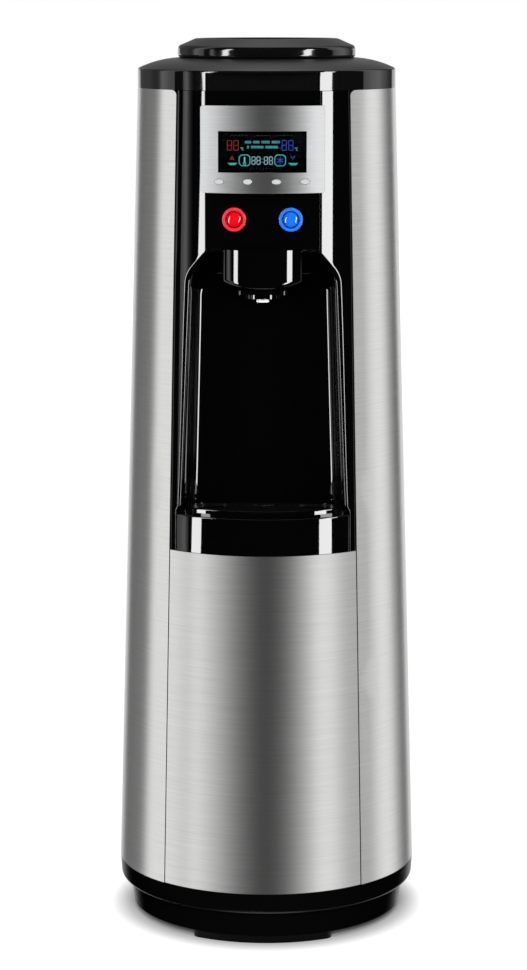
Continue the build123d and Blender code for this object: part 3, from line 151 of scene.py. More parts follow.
# studio: two tall strip boxes and a dim card for the polished black plastic, a soft box overhead
# and a fill that leaves no reflection
boxes = {
    "stripLeft": {"azimuth": -52.3, "distance": 2.2, "height": 0.75, "wide": 0.32, "tall": 2.3, "watts": 44,
                  "aim": 0.75, "tilt": -12, "mirrored": True, "onlyPolished": True},
    "stripRight": {"azimuth": 53.4, "distance": 2.2, "height": 0.75, "wide": 0.40, "tall": 2.3, "watts": 58,
                   "aim": 0.75, "tilt": -15.5, "mirrored": True, "onlyPolished": True},
    "cardLeft": {"azimuth": -68.7, "distance": 2.2, "height": 0.75, "wide": 0.46, "tall": 2.3, "watts": 6.0,
                 "aim": 0.75, "tilt": 0, "mirrored": True, "onlyPolished": True},
    "topBox": {"azimuth": 180, "distance": 0.5, "height": 2.6, "wide": 1.6, "tall": 1.2, "watts": 6,
               "aim": 0.9, "tilt": 0, "mirrored": True, "onlyPolished": False},
    "fillBox": {"azimuth": 0, "distance": 3.6, "height": 1.9, "wide": 2.4, "tall": 1.8, "watts": 95,
                "aim": 0.6, "tilt": 0, "mirrored": False, "onlyPolished": False},
}
polished = bpy.data.collections.new("polishedPieces")
brushed = bpy.data.collections.new("brushedMetal")
mattPieces = bpy.data.collections.new("mattPieces")
for name, box in boxes.items():
    lightData = bpy.data.lights.new(name, "AREA")
    lightData.shape = "RECTANGLE"
    lightData.size = box["wide"]
    lightData.size_y = box["tall"]
    lightData.energy = box["watts"]
    light = bpy.data.objects.new(name, lightData)
    scene.collection.objects.link(light)
    angle = math.radians(box["azimuth"])
    light.location = (box["distance"] * math.sin(angle), -box["distance"] * math.cos(angle), box["height"])
    facing = (Vector((0, 0, box["aim"])) - light.location).to_track_quat("-Z", "Y")
    light.rotation_euler = (facing @ Quaternion((0, 0, 1), math.radians(box["tilt"]))).to_euler()
    light.visible_camera = False
    light.visible_glossy = box["mirrored"]
    if box["onlyPolished"]:
        light.light_linking.receiver_collection = polished

# the card fades out towards the front, by the share of its width; the parametric place is centred,
# so that X + Y - 0.5 runs from 0 to 1 across it
cardFade = [(0, 0.6), (0.18, 0.75), (0.38, 1.0), (0.55, 0.6), (0.75, 0.16), (1, 0)]
cardData = bpy.data.lights["cardLeft"]
cardData.use_nodes = True
tree = cardData.node_tree
onCard = addNode(tree, "ShaderNodeNewGeometry")
cardAxes = addNode(tree, "ShaderNodeSeparateXYZ", links={0: onCard.outputs["Parametric"]})
cardSum = addNode(tree, "ShaderNodeMath", {"operation": "ADD"},
                  {0: cardAxes.outputs["X"], 1: cardAxes.outputs["Y"]})
acrossCard = addNode(tree, "ShaderNodeMath", {"operation": "SUBTRACT", 1: 0.5}, {0: cardSum.outputs[0]})
fade = addNode(tree, "ShaderNodeFloatCurve", links={"Value": acrossCard.outputs[0]})
setCurve(fade, cardFade)
tree.links.new(fade.outputs[0], tree.nodes["Emission"].inputs["Strength"])

# plain white surroundings, also in metal and glass; matt surfaces take less of it
surround = {"mattLevel": 0.35, "shownLevel": 1.0}
world = bpy.data.worlds.new("studio")
scene.world = world
world.use_nodes = True
tree = world.node_tree
backdrop = tree.nodes["Background"]
level = addNode(tree, "ShaderNodeMapRange",
                {"To Min": surround["mattLevel"], "To Max": surround["shownLevel"]},
                {"Value": shownRays(tree)})
tree.links.new(level.outputs["Result"], backdrop.inputs["Strength"])
setSockets(backdrop, {"Color": (1, 1, 1, 1)})

# graded scrims round the set, by compass angle from the front: bright at the sides, grey behind;
# the front one grades the brushed metal, and is a black flag to the polished pieces
scrims = {
    "scrimLeft": {"for": mattPieces, "low": -14.0, "levels": [
        (-150, 0.17), (-136, 0.18), (-125, 0.24), (-115, 0.2), (-109, 0.26), (-105, 0.92), (-100, 1.4),
        (-93, 1.1), (-86, 1.1)]},
    "scrimFront": {"for": brushed, "low": -14.0, "levels": [
        (-86, 1.1), (-80, 1.1), (-70, 0.93), (-63, 0.78), (-57, 1.15), (-47.5, 0.88), (-37.6, 0.63),
        (-28, 0.38), (-18.6, 0.2), (-9, 0.1), (0, 0.05), (9, 0.08), (18.6, 0.18), (28, 0.44),
        (37.6, 0.75), (43.5, 1.14), (52.6, 1.17), (63, 0.79), (70, 0.65), (76, 0.59), (86, 0.5),
        (96, 0.88)]},
    "scrimRight": {"for": mattPieces, "low": -14.0, "levels": [
        (96, 0.88), (100, 1.02), (107, 1.18), (115, 1.17), (120, 1.04), (125, 0.68), (130, 0.45),
        (136, 0.25), (142, 0.11), (150, 0.1)]},
    "scrimBack": {"for": mattPieces, "low": 1.3, "levels": [
        (150, 0.1), (165, 0.3), (180, 0.42), (195, 0.3), (210, 0.17)]},
}
scrimSize = {"radius": 4.2, "high": 16.0, "steps": 24, "peak": 2.0, "behindSeam": 10}
for name, scrim in scrims.items():
    levels = scrim["levels"]
    first, last = levels[0][0], levels[-1][0]
    shape = bmesh.new()
    previous = None
    for step in range(scrimSize["steps"] + 1):
        angle = math.radians(first + (last - first) * step / scrimSize["steps"])
        x, y = scrimSize["radius"] * math.sin(angle), -scrimSize["radius"] * math.cos(angle)
        pair = [shape.verts.new((x, y, scrim["low"])), shape.verts.new((x, y, scrimSize["high"]))]
        if previous:
            shape.faces.new((previous[0], pair[0], pair[1], previous[1]))
        previous = pair
    cloth, tree, shader, place = newMaterial(name + "Cloth")  # white cloth, lit from behind in a gradient
    axes, ahead, compass = compassAngle(tree, place)
    seam = first - scrimSize["behindSeam"]  # where the angle starts over, clear of the cloth
    turned = addNode(tree, "ShaderNodeMath",
                     {"operation": "WRAP", 1: math.radians(seam + 360), 2: math.radians(seam)}, {0: compass})
    along = addNode(tree, "ShaderNodeMapRange",
                    {"From Min": math.radians(first), "From Max": math.radians(last)},
                    {"Value": turned.outputs[0]})
    grade = addNode(tree, "ShaderNodeFloatCurve", links={"Value": along.outputs["Result"]})
    peak = scrimSize["peak"]
    setCurve(grade, [((angle - first) / (last - first), level / peak) for angle, level in levels])
    glow = addNode(tree, "ShaderNodeMath", {"operation": "MULTIPLY", 1: peak}, {0: grade.outputs[0]})
    lit = addNode(tree, "ShaderNodeEmission", links={"Strength": glow.outputs[0]})
    tree.links.new(lit.outputs[0], tree.nodes["Material Output"].inputs["Surface"])
    wall = meshObject(name, shape, cloth)
    wall.visible_camera = False
    wall.visible_shadow = False
    wall.light_linking.receiver_collection = scrim["for"]

# floor: one sheet of white paper, with a soft painted shadow close to the foot, where ambient occlusion
# darkens its lift to white
sheet = {"half": 3.0, "far": 9.0, "colour": "F4F4F4", "level": 0.88, "shadowReach": 0.036,
         "shadowDepth": 2.2}
shape = bmesh.new()
shape.faces.new([shape.verts.new((x, y, 0)) for x, y in (
    (-sheet["half"], -sheet["half"]), (sheet["half"], -sheet["half"]),
    (sheet["half"], sheet["far"]), (-sheet["half"], sheet["far"]))])
paper, tree, shader, place = newMaterial("seamlessPaper")  # matt white studio paper, lit to plain white
setSockets(shader, {"Base Color": linear(sheet["colour"]), "Specular IOR Level": 0.1,
                    "Emission Color": (1, 1, 1, 1)})
fibre = addNode(tree, "ShaderNodeTexNoise", {"Scale": 900.0, "Detail": 2.0}, {"Vector": place})
spreadRoughness(tree, shader, fibre.outputs["Fac"], 0.86, 0.94)
# painted shadow: ambient occlusion near the object darkens the lift
nearby = addNode(tree, "ShaderNodeAmbientOcclusion", {"Distance": sheet["shadowReach"], "samples": 12})
shade = addNode(tree, "ShaderNodeMath", {"operation": "POWER", 1: sheet["shadowDepth"]},
                {0: nearby.outputs["AO"]})
paperLevel = addNode(tree, "ShaderNodeMath", {"operation": "MULTIPLY", 1: sheet["level"]},
                     {0: shownRays(tree)})
lift = addNode(tree, "ShaderNodeMath", {"operation": "MULTIPLY"},
               {0: paperLevel.outputs[0], 1: shade.outputs[0]})
tree.links.new(lift.outputs[0], shader.inputs["Emission Strength"])
floor = meshObject("paperFloor", shape, paper)
floor.visible_glossy = False  # metal shows the scrims down to its foot
print("studio built")


def brushedSheet(name, dark, light, settings):
    material, tree, shader, place = newMaterial(name)
    axes, ahead, angle = compassAngle(tree, place)
    arc = addNode(tree, "ShaderNodeMath", {"operation": "MULTIPLY", 1: settings["radius"]}, {0: angle})
    levels = []
    for lengthMm, heightMm in settings["streaks"]:
        run = addNode(tree, "ShaderNodeMath", {"operation": "MULTIPLY", 1: 1000 / lengthMm},
                      {0: arc.outputs[0]})
        rise = addNode(tree, "ShaderNodeMath", {"operation": "MULTIPLY", 1: 1000 / heightMm},
                       {0: axes.outputs["Z"]})
        flat = addNode(tree, "ShaderNodeCombineXYZ", links={0: run.outputs[0], 1: rise.outputs[0]})
        noise = addNode(tree, "ShaderNodeTexNoise", {"Scale": 1.0, "Detail": 3.0, "Roughness": 0.6},
                        {"Vector": flat.outputs[0]})
        levels.append(noise.outputs["Fac"])
    both = addNode(tree, "ShaderNodeMix", {0: 0.4}, {2: levels[0], 3: levels[1]})
    weak, strong = 0.3, 0.7  # nearly all of the mixed noise lies between these
    tone = addNode(tree, "ShaderNodeValToRGB", links={"Fac": both.outputs[0]})
    for element, position, hexColour in zip(tone.color_ramp.elements, (weak, strong), (dark, light)):
        element.position = position
        element.color = linear(hexColour)
    tree.links.new(tone.outputs["Color"], shader.inputs["Base Color"])
    low, high = settings["roughness"]
    polish = addNode(tree, "ShaderNodeMapRange",
                     {"From Min": weak, "From Max": strong, "To Min": low, "To Max": high},
                     {"Value": both.outputs[0]})
    tree.links.new(polish.outputs["Result"], shader.inputs["Roughness"])
    bump = addNode(tree, "ShaderNodeBump", {"Strength": settings["bump"], "Distance": 0.00005},
                   {"Height": both.outputs[0]})
    tree.links.new(bump.outputs["Normal"], shader.inputs["Normal"])
    around = addNode(tree, "ShaderNodeCombineXYZ", links={0: ahead, 1: axes.outputs["X"]})
    tree.links.new(around.outputs[0], shader.inputs["Tangent"])
    setSockets(shader, {"Metallic": 1.0, "Anisotropic": settings["anisotropic"],
                        "Anisotropic Rotation": 0.25})
    return material


# stainless steel, brushed round the cabinet: real lines are 0.1 mm, drawn over 1 mm high so that they show
stainlessBrushed = brushedSheet("stainlessBrushed", "CBCBCA", "DEDEDD", {
    "radius": 0.157, "streaks": ((45, 1.3), (140, 3.5)), "roughness": (0.33, 0.39), "bump": 0.04,
    "anisotropic": 0.85})
steelPanels = ("left_side_panel", "right_side_panel", "lower_front_panel")
paint(stainlessBrushed, *steelPanels)

# aluminium, brushed across and clear anodised: the same lines, a little finer
aluminiumBrushed = brushedSheet("aluminiumBrushed", "D2D3D4", "E6E7E8", {
    "radius": 0.147, "streaks": ((30, 0.9), (90, 2.2)), "roughness": (0.32, 0.38), "bump": 0.04,
    "anisotropic": 0.8})
paint(aluminiumBrushed, "control_plate")

# mouldings: wide flow marks change the tone a little, and the tool's grain changes the polish
moulding = {"flowMm": 60, "tone": (0.93, 1.06), "bumpDepth": 0.00003}


def mouldedPlastic(name, hexColour, roughness, grainMm, bump, spread, ior=1.5):
    material, tree, shader, place = newMaterial(name)
    grain = addNode(tree, "ShaderNodeTexNoise", {"Scale": 1000 / grainMm, "Detail": 3.0}, {"Vector": place})
    flow = addNode(tree, "ShaderNodeTexNoise", {"Scale": 1000 / moulding["flowMm"], "Detail": 1.0},
                   {"Vector": place})
    spreadColour(tree, shader, flow.outputs["Fac"], hexColour, *moulding["tone"])
    spreadRoughness(tree, shader, grain.outputs["Fac"], roughness - spread, roughness + spread)
    if bump:
        relief = addNode(tree, "ShaderNodeBump", {"Strength": bump, "Distance": moulding["bumpDepth"]},
                         {"Height": grain.outputs["Fac"]})
        tree.links.new(relief.outputs["Normal"], shader.inputs["Normal"])
    setSockets(shader, {"IOR": ior})
    return material


# ABS, moulded against a polished tool: deep black with mirror-sharp reflections
absPianoBlack = mouldedPlastic("absPianoBlack", "030303", roughness=0.03, grainMm=9.0, bump=0, spread=0.012)
glossPieces = ("left_cheek", "right_cheek", "niche_liner", "shelf", "control_column", "control_bezel",
               "spout_hood", "nozzle_holder", "drip_tray")
paint(absPianoBlack, *glossPieces)
# ABS, moulded against a fine-blasted tool: black with a soft sheen
absSatinBlack = mouldedPlastic("absSatinBlack", "0B0B0C", roughness=0.32, grainMm=0.9, bump=0.12, spread=0.05)
paint(absSatinBlack, "base_plinth", "drip_grille", "rocker_housings", "mains_gland", "panel_studs")


def satinAbove(name, hexColour, edgeHeight, gloss, satin):
    material, tree, shader, place = newMaterial(name)
    axes = addNode(tree, "ShaderNodeSeparateXYZ", links={0: place})
    grain = addNode(tree, "ShaderNodeTexNoise", {"Scale": 1000 / 0.9, "Detail": 2.0}, {"Vector": place})
    blur = 0.0005  # half the height over which the gloss ends
    above = addNode(tree, "ShaderNodeMapRange",
                    {"From Min": edgeHeight - blur, "From Max": edgeHeight + blur,
                     "To Min": gloss, "To Max": satin}, {"Value": axes.outputs["Z"]})
    vary = addNode(tree, "ShaderNodeMapRange", {"To Min": 0.9, "To Max": 1.1},
                   {"Value": grain.outputs["Fac"]})
    polish = addNode(tree, "ShaderNodeMath", {"operation": "MULTIPLY"},
                     {0: above.outputs["Result"], 1: vary.outputs["Result"]})
    tree.links.new(polish.outputs[0], shader.inputs["Roughness"])
    spreadColour(tree, shader, grain.outputs["Fac"], hexColour, 0.85, 1.15)
    setSockets(shader, {"IOR": 1.5})
    return material


# ABS with a polished wall and a fine-textured top face
paint(satinAbove("absCoverBlack", "09090A", edgeHeight=0.9652, gloss=0.05, satin=0.36), "top_cover")
paint(satinAbove("absCollarBlack", "09090A", edgeHeight=0.9886, gloss=0.1, satin=0.36), "bottle_collar")

# rubber, moulded: dull black
paint(mouldedPlastic("rubberMoulded", "141414", roughness=0.7, grainMm=0.6, bump=0.3, spread=0.08),
      "front_foot", "rear_feet", "compressor_mounts")
# ABS, silver lacquered: bright satin key caps
paint(mouldedPlastic("absSilverLacquer", "F2F3F4", roughness=0.25, grainMm=0.5, bump=0.05, spread=0.04),
      "menu_button_1", "menu_button_2", "menu_button_3", "menu_button_4")
# ABS, coloured through and polished: the caps are deeper than their rings
absRed = mouldedPlastic("absRed", "CC0814", roughness=0.06, grainMm=4.0, bump=0, spread=0.02)
absBlue = mouldedPlastic("absBlue", "1464D6", roughness=0.06, grainMm=4.0, bump=0, spread=0.02)
paint(absRed, "hot_button", "hot_rocker")
paint(absBlue, "cold_button", "cold_rocker")
paint(mouldedPlastic("absRedRing", "CC2430", roughness=0.2, grainMm=4.0, bump=0.01, spread=0.02),
      "hot_button_bezel")
paint(mouldedPlastic("absBlueRing", "1B64CC", roughness=0.2, grainMm=4.0, bump=0.01, spread=0.02),
      "cold_button_bezel")
# polypropylene, moulded: translucent-looking white and mid grey
paint(mouldedPlastic("polypropyleneWhite", "E6E6E2", roughness=0.42, grainMm=1.2, bump=0.08, spread=0.05),
      "bottle_guard")
paint(mouldedPlastic("polypropyleneGrey", "6E6F72", roughness=0.45, grainMm=1.2, bump=0.08, spread=0.05),
      "button_switches", "dispensing_manifold", "drain_plug", "valve_coils")
# foam, expanded in the mould: fine beads
paint(mouldedPlastic("foamExpanded", "EDEDEA", roughness=0.85, grainMm=3.0, bump=0.6, spread=0.05),
      "cold_tank_insulation", "hot_tank_insulation")
# silicone, extruded: milky hose; the outlet is a clean white, a painted highlight for the bright lip of its
# tip
paint(mouldedPlastic("siliconeExtruded", "DCDCD6", roughness=0.5, grainMm=2.0, bump=0.05, spread=0.05),
      "water_hoses")
# painted highlight: the outlet's white stands for the bright reflection on its lip
paint(mouldedPlastic("outletHighlightWhite", "F6F6F3", roughness=0.4, grainMm=2.0, bump=0.05, spread=0.05),
      "nozzle_tip")
# glass-fibre board under solder mask: half-gloss green
paint(mouldedPlastic("boardSolderMask", "1F5E34", roughness=0.4, grainMm=1.0, bump=0.1, spread=0.06),
      "display_board", "power_board")

# plain metals: crystal flakes, with a finer cloud over them
rolling = {"fineMm": 2.0, "fineShare": 0.35, "spread": 0.06}


def sheetMetal(name, hexColour, roughness, grainMm, metallic, contrast):
    material, tree, shader, place = newMaterial(name)
    flakes = addNode(tree, "ShaderNodeTexVoronoi", {"Scale": 1000 / grainMm}, {"Vector": place})
    fine = addNode(tree, "ShaderNodeTexNoise", {"Scale": 1000 / rolling["fineMm"], "Detail": 3.0},
                   {"Vector": place})
    both = addNode(tree, "ShaderNodeMix", {0: rolling["fineShare"]},
                   {2: flakes.outputs["Color"], 3: fine.outputs["Fac"]})
    spreadColour(tree, shader, both.outputs[0], hexColour, 1 - contrast, 1 + contrast)
    low, high = roughness - rolling["spread"], roughness + rolling["spread"]
    spreadRoughness(tree, shader, both.outputs[0], low, high)
    setSockets(shader, {"Metallic": metallic})
    return material


# steel sheet, hot-dip galvanised: pale grey with spangle about 8 mm across
paint(sheetMetal("steelGalvanised", "A7AAAC", roughness=0.42, grainMm=8.0, metallic=1.0, contrast=0.12),
      "back_panel", "base_plate", "panel_crossbars", "mid_deck", "upper_deck")
# steel screws, zinc plated: pale with a warm cast
paint(sheetMetal("zincPlated", "C9C7BE", roughness=0.3, grainMm=1.0, metallic=1.0, contrast=0.08),
      "back_screws")
# steel, dipped in black enamel: a coat with some gloss
paint(sheetMetal("enamelBlack", "101011", roughness=0.3, grainMm=3.0, metallic=0.0, contrast=0.2),
      "compressor", "condenser_tube", "condenser_wires")
# copper, drawn: warm with a dull oxide
paint(sheetMetal("copperDrawn", "B87352", roughness=0.34, grainMm=5.0, metallic=1.0, contrast=0.15),
      "refrigerant_pipes", "filter_drier", "evaporator_wrap")
# stainless steel, rolled: plain mill finish
paint(sheetMetal("stainlessRolled", "BDBDBB", roughness=0.3, grainMm=3.0, metallic=1.0, contrast=0.06),
      "cold_tank", "hot_tank")

# acrylic, cast and lightly smoked: a clear window with a grey tint
smokedAcrylic, tree, shader, place = newMaterial("acrylicSmoked")
haze = addNode(tree, "ShaderNodeTexNoise", {"Scale": 1000 / 5, "Detail": 1.0}, {"Vector": place})
spreadRoughness(tree, shader, haze.outputs["Fac"], 0.0, 0.03)
setSockets(shader, {"Base Color": linear("C8CCD2"), "Transmission Weight": 1.0, "IOR": 1.49})
paint(smokedAcrylic, "display_lens")
print("materials assigned")

# what the strips and scrims light: the plinth is flagged off from the scrims, and stays black
polishedNodes = (*glossPieces, "nozzle_tip", "drip_grille", "top_cover", "bottle_collar", "hot_button",
                 "cold_button", "hot_button_bezel", "cold_button_bezel", "display_lens")
brushedNodes = (*steelPanels, "control_plate")
for name, node in nodes.items():
    if name != "base_plinth":
        mattPieces.objects.link(node)
    if name in polishedNodes:
        polished.objects.link(node)
    if name in brushedNodes:
        brushed.objects.link(node)
print("lights linked")

# opening: each cheek rolls into the dispensing niche, and the liner runs into the niche's back in soft
# corners; lengths in mm, angles in degrees
niche = {"plinthRadius": 170.0, "crownRadius": 143.6, "shellFoot": 61.0, "shellHeight": 882.6,
         "seamAngle": 40.5, "seamGap": 1.4, "seamRound": 1.2, "seamDepth": 4.0, "top": 943.1,
         "bottom": 441.5, "neckHalf": 61.5, "neckBottom": 771.0, "neckRound": 10.0,
         "shoulderHalf": 78.8, "shoulderHeight": 746.0, "shoulderRound": 35.0, "sideHalf": 90.3,
         "sideFoot": 492.0, "footHalf": 95.5, "shelfLine": 484.5, "footRound": 5.0, "deck": 481.5,
         "ceiling": 770.9, "mouth": -133.5, "front": -125.0, "back": -83.0, "backTopHalf": 55.0,
         "backTop": 742.9, "backShoulderHalf": 74.2, "backShoulder": 727.9, "backFootHalf": 80.6,
         "backRound": 18.0, "neckRoll": 0.7, "shoulderRoll": 6.5, "sideRoll": 3.6, "footRoll": 0.8,
         "returnDepth": 6.0, "softCorner": 11.5, "lipDepth": 0.6, "lipOut": 0.3, "wallDepth": 2.5,
         "wall": 1.2, "sharp": 50}
pathSteps = {"neck": 14, "neckArc": 10, "shoulder": 8, "shoulderArc": 14, "side": 36, "sideArc": 5,
             "step": 3, "footArc": 5, "foot": 6}
profileSteps = {"seam": 4, "skin": 10, "roll": 16, "wall": 4, "corner": 12}


def shellRadius(z):
    share = (z - niche["shellFoot"]) / niche["shellHeight"]
    return niche["plinthRadius"] + (niche["crownRadius"] - niche["plinthRadius"]) * share


def onSkin(spot):
    return Vector((spot.x, -math.sqrt(shellRadius(spot.y) ** 2 - spot.x ** 2), spot.y))


def roundCorner(start, corner, end, share):
    weight = math.cos((corner - start).angle(end - corner) / 2)
    first, middle, last = (1 - share) ** 2, 2 * weight * share * (1 - share), share ** 2
    return (start * first + corner * middle + end * last) / (first + middle + last)


def roundedPath(corners, radii, counts):
    corners = [Vector(corner) for corner in corners]
    path = [corners[0]]
    for index, radius in enumerate(radii):
        before, corner, after = corners[index:index + 3]
        inward, outward = (corner - before).normalized(), (after - corner).normalized()
        run = radius * math.tan(inward.angle(outward) / 2)
        start, end = corner - inward * run, corner + outward * run
        last = path[-1]
        path += [last.lerp(start, (step + 1) / counts[2 * index]) for step in range(counts[2 * index])]
        arcSteps = counts[2 * index + 1]
        path += [roundCorner(start, corner, end, (step + 1) / arcSteps) for step in range(arcSteps)]
    last = path[-1]
    return path + [last.lerp(corners[-1], (step + 1) / counts[-1]) for step in range(counts[-1])]


def awayFromOpening(path):
    sides = []
    for index in range(len(path)):
        along = (path[min(index + 1, len(path) - 1)] - path[max(index - 1, 0)]).normalized()
        sides.append(Vector((-along.y, along.x)))
    return sides


def ease(share):
    share = min(1, max(0, share))
    return share * share * (3 - 2 * share)


upperSteps = [pathSteps[key] for key in ("neck", "neckArc", "shoulder", "shoulderArc", "side")]
frontPath = roundedPath(
    [(0, niche["ceiling"]), (niche["neckHalf"], niche["ceiling"]),
     (niche["shoulderHalf"], niche["shoulderHeight"]), (niche["sideHalf"], niche["deck"])],
    [niche["neckRound"], niche["shoulderRound"]], upperSteps)
backPath = roundedPath(
    [(0, niche["backTop"]), (niche["backTopHalf"], niche["backTop"]),
     (niche["backShoulderHalf"], niche["backShoulder"]), (niche["backFootHalf"], niche["deck"])],
    [niche["backRound"], niche["backRound"]], upperSteps)
cheekPath = roundedPath(
    [(niche["neckHalf"], niche["top"]), (niche["neckHalf"], niche["neckBottom"]),
     (niche["shoulderHalf"], niche["shoulderHeight"]), (niche["sideHalf"], niche["sideFoot"]),
     (niche["footHalf"], niche["shelfLine"]), (niche["footHalf"], niche["bottom"])],
    [niche["neckRound"], niche["shoulderRound"], niche["footRound"], niche["footRound"]],
    list(pathSteps.values()))
frontSides, backSides = awayFromOpening(frontPath), awayFromOpening(backPath)
cheekSides = awayFromOpening(cheekPath)
shoulderStart = pathSteps["neck"] + pathSteps["neckArc"]
sideStart = shoulderStart + pathSteps["shoulder"] + pathSteps["shoulderArc"]
footStart = sideStart + pathSteps["side"]
lowStart = footStart + pathSteps["sideArc"] + pathSteps["step"] + pathSteps["footArc"]


def inSpace(spot, depth):
    return Vector((spot.x, depth, spot.y))


def inMetres(row, side):
    return [Vector((side * point.x, point.y, point.z)) / 1000 for point in row]


def cheekRow(index, side):
    spot, outward = cheekPath[index], cheekSides[index]
    intoRoll = ease((index - pathSteps["neck"]) / (sideStart - pathSteps["neck"]))
    alongSide = ease((index - sideStart) / (footStart - sideStart))
    intoFoot = ease((index - footStart) / (lowStart - footStart))
    roll = niche["neckRoll"] + (niche["shoulderRoll"] - niche["neckRoll"]) * intoRoll
    roll += (niche["sideRoll"] - niche["shoulderRoll"]) * alongSide
    roll += (niche["footRoll"] - niche["sideRoll"]) * intoFoot
    paired = min(index, len(frontPath) - 1)
    slanted = inSpace(backPath[paired], niche["back"]) - inSpace(frontPath[paired], niche["front"])
    inward = Vector((0, 1, 0)).lerp(slanted.normalized(), intoRoll).normalized()
    edge = onSkin(spot)
    rollSpot = spot + outward * roll
    rollStart = onSkin(rollSpot)
    towardsEdge = (onSkin(rollSpot - outward * 0.1) - rollStart).normalized()  # over a short step
    reach = (edge - rollStart).length
    rollEnd = edge + inward * reach
    handle = 0.52 * reach  # nearly a true arc at this bend
    firstHandle, lastHandle = rollStart + towardsEdge * handle, rollEnd - inward * handle
    seam = math.radians(niche["seamAngle"]) - (niche["seamGap"] / 2) / shellRadius(spot.y)
    radial = Vector((math.sin(seam), -math.cos(seam), 0))
    sideways = Vector((-math.cos(seam), -math.sin(seam), 0))
    seamCorner = radial * shellRadius(spot.y) + Vector((0, 0, spot.y))
    row = [seamCorner - radial * niche["seamDepth"]]
    for step in range(profileSteps["seam"] + 1):
        row.append(roundCorner(seamCorner - radial * niche["seamRound"], seamCorner,
                               seamCorner + sideways * niche["seamRound"], step / profileSteps["seam"]))
    seamX = row[-1].x
    for step in range(1, profileSteps["skin"]):
        share = step / profileSteps["skin"]
        row.append(onSkin(Vector((seamX + (rollSpot.x - seamX) * share,
                                  spot.y + (rollSpot.y - spot.y) * share))))
    for step in range(profileSteps["roll"] + 1):
        share = step / profileSteps["roll"]
        row.append(rollStart * (1 - share) ** 3 + firstHandle * 3 * share * (1 - share) ** 2
                   + lastHandle * 3 * share ** 2 * (1 - share) + rollEnd * share ** 3)
    row.append(rollEnd + inward * niche["returnDepth"])
    return inMetres(row, side), rollEnd.y


def linerRow(index, side):
    front, back = inSpace(frontPath[index], niche["front"]), inSpace(backPath[index], niche["back"])
    inward = (back - front).normalized()
    outward = Vector((frontSides[index].x, 0, frontSides[index].y))
    start = niche["mouth"]
    if index > pathSteps["neck"]:  # below the neck the wall starts where the cheek's roll ends
        blend = ease((index - pathSteps["neck"]) / pathSteps["neckArc"])
        start += (cheekRow(max(index, shoulderStart), 1)[1] - start) * blend

    def wallAt(depth):
        if depth < front.y:
            return Vector((front.x, depth, front.z))
        return front + inward * (depth - front.y) / inward.y

    cornerStart = back - inward * niche["softCorner"]
    cornerEnd = back - Vector((backSides[index].x, 0, backSides[index].y)) * niche["softCorner"]
    firstWall = wallAt(start + niche["wallDepth"])
    row = [wallAt(start + niche["lipDepth"]) + outward * niche["lipOut"], firstWall]
    wallSteps = profileSteps["wall"]
    row += [firstWall.lerp(cornerStart, (step + 1) / wallSteps) for step in range(wallSteps - 1)]
    for step in range(profileSteps["corner"] + 1):
        row.append(roundCorner(cornerStart, back, cornerEnd, step / profileSteps["corner"]))
    return inMetres(row, side)


def mouldedShell(name, rows, stands, closing=False):
    shape = bmesh.new()
    grid = [[shape.verts.new(point) for point in row] for row in rows]
    for before, after in zip(grid, grid[1:]):
        for index in range(len(before) - 1):
            shape.faces.new((before[index], before[index + 1], after[index + 1], after[index]))
    if closing:
        shape.faces.new([row[-1] for row in grid])
    bmesh.ops.recalc_face_normals(shape, faces=shape.faces[:])
    shape.faces.ensure_lookup_table()
    middle = grid[len(grid) // 2][len(grid[0]) // 2].link_faces[0]
    if middle.normal.y > 0:
        bmesh.ops.reverse_faces(shape, faces=shape.faces[:])
    bmesh.ops.solidify(shape, geom=shape.faces[:], thickness=niche["wall"] / 1000)
    for face in shape.faces:
        face.smooth = True
    piece = meshObject(name, shape, absPianoBlack, niche["sharp"])
    polished.objects.link(piece)
    if not closing:  # no scrim reaches into the niche
        mattPieces.objects.link(piece)
    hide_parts(stands)
    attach(piece, "cabinet")


mouldedShell("leftCheekShell", [cheekRow(index, -1)[0] for index in range(len(cheekPath))], "left_cheek")
mouldedShell("rightCheekShell", [cheekRow(index, 1)[0] for index in range(len(cheekPath))], "right_cheek")
archRows = [linerRow(index, -1) for index in range(len(frontPath) - 1, 0, -1)]
archRows += [linerRow(index, 1) for index in range(len(frontPath))]
mouldedShell("nicheShell", archRows, "niche_liner", True)
print("niche built")

# the control facet leans back by this angle in degrees; buttons and display sit on it
facetLean = math.radians(1.888)
facetOut = Vector((0, -math.cos(facetLean), math.sin(facetLean)))
facetUp = Vector((0, math.sin(facetLean), math.cos(facetLean)))

# push buttons: domed caps, with a thin dark ring between each cap and its bezel ring: painted shade for the
# gap
push = {"spread": 61.2, "centreZ": 806.2, "facetY": -132.79, "radius": 8.75, "apex": 4.4, "dome": 12.3,
        "domeSteps": 12, "lip": 10.25, "lipBack": -10.35, "lipFront": -8.35, "steps": 64, "sharp": 40}
# sizes of the dark ring round each cap, painted shade in the gap
shadowGapRing = {"inner": 8.95, "outer": 9.7, "low": 1.5, "high": 3.12, "round": 0.2}


def turnedPiece(name, profile, side, material, body):
    shape = bmesh.new()
    centre = Vector((side * push["spread"] / 2, push["facetY"], push["centreZ"]))
    loops = []
    for step in range(push["steps"]):
        angle = 2 * math.pi * step / push["steps"]
        spoke = Vector((math.cos(angle), 0, 0)) + facetUp * math.sin(angle)
        loops.append([shape.verts.new((centre + spoke * radius + facetOut * lift) / 1000)
                      for radius, lift in profile])
    for index, loop in enumerate(loops):
        after = loops[(index + 1) % len(loops)]
        for place in range(len(profile)):
            following = (place + 1) % len(profile)
            if profile[place][0] or profile[following][0]:  # no face along the axis
                shape.faces.new((loop[place], loop[following], after[following], after[place]))
    bmesh.ops.remove_doubles(shape, verts=shape.verts[:], dist=1e-7)
    bmesh.ops.recalc_face_normals(shape, faces=shape.faces[:])
    for face in shape.faces:
        face.smooth = True
    piece = meshObject(name, shape, material, push["sharp"])
    polished.objects.link(piece)
    mattPieces.objects.link(piece)
    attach(piece, body)
    return piece


